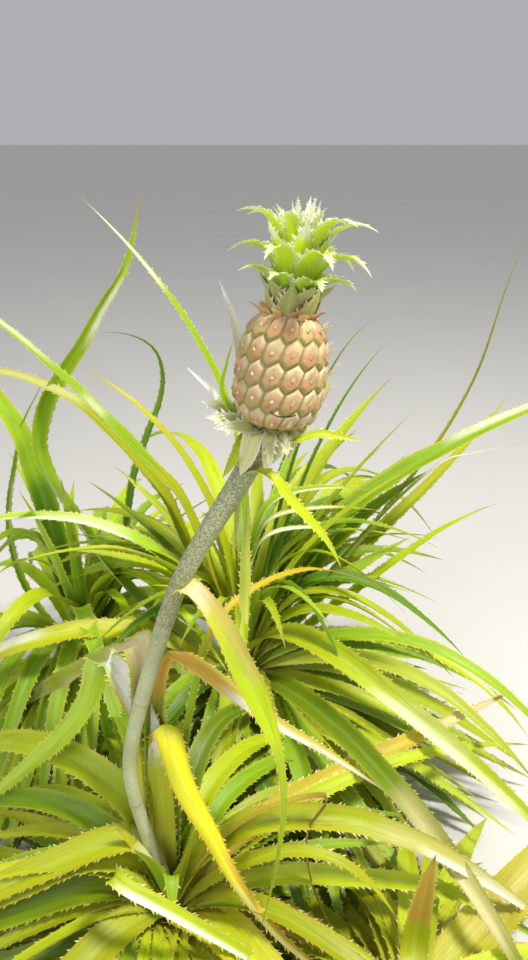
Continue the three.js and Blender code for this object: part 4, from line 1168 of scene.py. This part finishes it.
def add_fruit():
    """Fruit: a barrel whose radius is raised in six-sided eyes. The eyes stand in staggered rows; the
    distance to the nearest middle against that to the second nearest gives the seams."""
    steps, sides = FRUIT_GRID
    share = np.sin(np.linspace(-1, 1, steps) * np.pi / 2 * CROWDING) / math.sin(np.pi / 2 * CROWDING)
    turn = np.linspace(0, 360, sides, endpoint=False)
    v = (share + 1) * EYE_ROWS
    u = (turn[None, :] - EYE_TWIST * share[:, None]) / (180 / EYES_IN_ROW)
    wide = 2 * np.pi * FRUIT_RADIUS / (2 * EYES_IN_ROW)
    tall = FRUIT_HEIGHT / (2 * EYE_ROWS)
    best = np.full((2, steps, sides), 1e9)
    eye = np.zeros((steps, sides))
    drop = np.zeros((steps, sides))
    for row in range(-1, EYE_ROWS + 1):
        for turn_step in (0, 1):
            middle_v = 2 * row + 1
            middle_u = 2 * np.round((u - row % 2) / 2 + (turn_step - 0.5) * 0.999) + row % 2
            du, dv = (u - middle_u) * wide, (v[:, None] - middle_v) * tall
            gap = np.hypot(du, dv * EYE_STRETCH)
            nearer = gap < best[0]
            other = np.where(gap > best[0] + 1e-6, gap, best[1])
            best[1] = np.where(nearer, best[0], np.minimum(best[1], other))
            eye = np.where(nearer, row * 31 + np.mod(middle_u, 2 * EYES_IN_ROW) * 7, eye)
            drop = np.where(nearer, dv, drop)
            best[0] = np.where(nearer, gap, best[0])
    seam = np.clip((best[1] - best[0]) / SEAM_WIDTH, 0, 1)
    heart = np.clip(1 - best[0] / HEART_REACH, 0, 1)
    plateau = smooth(seam / 0.6)
    bulge = EYE_RISE * (0.72 * plateau + 0.28 * heart)
    bulge = bulge - EYE_DIP[0] * np.exp(-((best[0] / EYE_DIP[1]) ** 2))
    flap = EYE_FLAP[0] * smooth(-drop / EYE_FLAP[1]) * plateau
    radius = barrel(share)[:, None] + bulge + flap
    radius = radius * (1 - 0.5 * np.clip(np.abs(share) - 0.985, 0, 1) * 20)[:, None]
    points = level(turn)[None] * radius[..., None]
    points[..., 2] = (FRUIT_HEIGHT * (1 + share) / 2)[:, None]
    mesh = Mesh()
    tone = np.mod(np.sin(eye * 12.9898) * SCATTERING, 1)
    (start, end), scar_height, sag, half = SCAR
    arc = (turn - 360 - (start + end) / 2) / ((end - start) / 2)
    off = np.abs(points[..., 2] - scar_height - sag * arc**2)
    scar = smooth(1.4 * (1 - off / half)) * (np.abs(arc) < 1)
    mesh.add(
        on_head(points), *tube_faces(steps, sides), seam=seam, tone=tone, heart=heart,
        low=np.clip(0.5 - drop / 16, 0, 1), scar=scar,
    )
    mesh.make("fruit_rind", RIND, "fruit", ["fruit"])


def add_eye_tips():
    """Small pointed bract in the middle of each eye, bent upwards, and a ring of blushed ones on top."""
    mesh = Mesh()
    for row in range(EYE_ROWS):
        share = (2 * row + 1) / EYE_ROWS - 1
        for step in range(EYES_IN_ROW):
            azimuth = (2 * step + row % 2) * 180 / EYES_IN_ROW + EYE_TWIST * share
            seed = EYE_SEED + row * 20 + step
            height = FRUIT_HEIGHT * (1 + share) / 2
            radius = float(barrel(np.array(share))) + EYE_RISE * 0.8
            size = (0.5 + 0.4 * scatter(seed, 1)) * (0.3 + 2.2 * max(0, math.cos(math.radians(azimuth))))
            rise = 5.5 * size * (1 - 0.5 * max(0, share))
            stations = [
                (azimuth, radius - 1.5, height - 3.5), (azimuth, radius + 1.6, height - 0.5),
                (azimuth, radius + 3.6 * size, height + rise - 1),
                (azimuth, radius + 5.4 * size, height + rise + 1),
            ]
            add_head_blade(mesh, stations, 5, short_outline, "eyetip", seed, **EYE_BLADE)
    for index in range(BLUSH_COUNT):
        azimuth = index * GOLDEN_ANGLE
        seed = BLUSH_SEED + index
        reach = BLUSH_REACH[0] + BLUSH_REACH[1] * scatter(seed, 4)
        size = 0.8 + 0.5 * scatter(seed, 1)
        stations = [
            (azimuth, reach, FRUIT_HEIGHT - 4), (azimuth, reach + 5, FRUIT_HEIGHT + size),
            (azimuth, reach + 11 * size, FRUIT_HEIGHT + 4 * size),
        ]
        add_head_blade(mesh, stations, 8, short_outline, "blush", seed, **BLUSH_BLADE)
    mesh.make("fruit_eye_tips", CROWN_LEAF, "bract")


def add_crown():
    """Crown: tiers of leaves round the neck, each leaf from its root through its bend to its tip. From the
    third tier up the tips carry a painted highlight, over more of a leaf the higher the tier, with some of
    the white frost the tips have."""
    mesh = Mesh()
    for tier, (count, first, *places, width, look) in enumerate(CROWN_TIERS):
        # Painted highlight on the tips of the upper tiers, with a little of their white frost.
        sheen = [(0.72 - 0.06 * max(0, tier - 4), 1.0, 0.5 + 0.1 * max(0, tier - 3), 0)] if tier > 1 else []
        for index in range(count):
            seed = CROWN_SEED + 20 * tier + index
            azimuth = first + 360 / count * index + 20 * (scatter(seed, 2) - 0.5)
            size = 0.88 + 0.22 * scatter(seed, 1)
            raised = 9 * (scatter(seed, 3) - 0.5)
            stations = [
                (azimuth, reach * (size if place else 1), FRUIT_HEIGHT + height + raised * place / 2)
                for place, (reach, height) in enumerate(places)
            ]
            add_head_blade(
                mesh, stations, width * size, scale_outline, look, seed, **CROWN_BLADE,
                twist=BLADE_TWIST * (scatter(seed, 4) - 0.5), sheen=sheen,
            )
    mesh.make("crown_leaves", CROWN_LEAF, "crown", ["fruit_crown"])


def add_collar(mesh):
    """Collar that carries the bracts: a low ring round the top of the stalk, turned from its profile."""
    inner = STALK_TOP_RADIUS + 0.2
    profile = np.array([
        (inner, -COLLAR_HEIGHT - 3), (COLLAR_RADIUS - 2, -COLLAR_HEIGHT), (COLLAR_RADIUS, -4.5),
        (COLLAR_RADIUS, -0.3), (inner, -0.3),
    ])
    sides, rows = COLLAR_SIDES, len(profile)
    turn = np.linspace(0, 360, sides, endpoint=False)
    ring = level(turn)[None] * profile[:, 0][:, None, None]
    ring[..., 2] = profile[:, 1][:, None]
    tint = np.broadcast_to(np.array(linear(COLLAR_COLOUR)), ring.shape)
    flat = np.zeros(ring.shape[:2])
    values = {"along": flat, "across": flat, "under": flat, "seed": flat}
    mesh.add(on_head(ring), *tube_faces(rows, sides), tint=tint, **values)


def add_bracts():
    """Bracts round the foot of the fruit, each rooted in the collar."""
    mesh = Mesh()
    add_collar(mesh)
    for index, bract in enumerate(BRACTS):
        azimuth = bract["at"][0][0]
        stations = [(azimuth, COLLAR_RADIUS - SUNK, -COLLAR_HEIGHT / 2), *bract["at"]]
        spines = (bract.get("spine", BRACT_SPINE), BRACT_SPINE_GAP)
        add_head_blade(
            mesh, stations, bract["width"] * BRACT_FULLNESS, short_outline, bract["look"], BRACT_SEED + index,
            **BRACT_BLADE, roll=bract.get("roll", 0), spines=spines,
        )
    mesh.make("foot_bracts", CROWN_LEAF, "bract", ["fruit_bracts"])


def add_stalk_leaves():
    """Leaves of the stalk, along the places of their table."""
    mesh = Mesh()
    for index, entry in enumerate(STALK_LEAVES):
        add_blade(
            mesh, entry["at"], np.array(STALK_LEAF_ACROSS), entry["width"], long_outline, entry["look"],
            STALK_SEED + index, **STALK_BLADE, roll=entry.get("roll", 0), sheen=entry.get("sheen", ()),
            thin=entry.get("thin"),
        )
    mesh.make("stalk_leaves", LEAF, "bract", nodes_of("stalk_leaf_"))


# Stage


def add_stage():
    """Pale floor, soft light and the camera at the photograph's viewing angle."""
    scene = bpy.context.scene
    mesh = bpy.data.meshes.new("floor")
    low, high = -FLOOR_REACH, FLOOR_REACH
    mesh.from_pydata([(low, low, 0), (high, low, 0), (high, high, 0), (low, high, 0)], [], [(0, 1, 2, 3)])
    mesh.materials.append(floor_paint())
    floor = bpy.data.objects.new("floor", mesh)
    scene.collection.objects.link(floor)
    world = bpy.data.worlds.new("studio")
    world.use_nodes = True
    world.node_tree.nodes["Background"].inputs["Color"].default_value = SKY
    world.node_tree.nodes["Background"].inputs["Strength"].default_value = SKY_STRENGTH
    scene.world = world
    for name, place, power, size, tone in LAMPS:
        light = bpy.data.lights.new(name, "AREA")
        light.energy, light.size, light.color = power, size, tone
        lamp = bpy.data.objects.new(name, light)
        lamp.location = place
        x, y, z = np.array(LAMP_AIM) - np.array(place)
        lamp.rotation_euler = (math.atan2(math.hypot(x, y), -z), 0, math.atan2(-x, y))
        scene.collection.objects.link(lamp)
    camera = bpy.data.cameras.new("camera")
    camera.lens, camera.sensor_width, camera.sensor_fit = CAMERA_LENS, CAMERA_SENSOR, "AUTO"
    view = bpy.data.objects.new("camera", camera)
    view.location = CAMERA_PLACE
    view.rotation_euler = (math.radians(CAMERA_TILT), 0, 0)
    scene.collection.objects.link(view)
    scene.camera = view
    scene.view_settings.view_transform = "Standard"


add_stage()
add_stems()
add_stalk()
add_fruit()
add_eye_tips()
add_crown()
add_bracts()
add_stalk_leaves()
for number, rosette in enumerate(ROSETTES):
    add_rosette(rosette, number + 1)
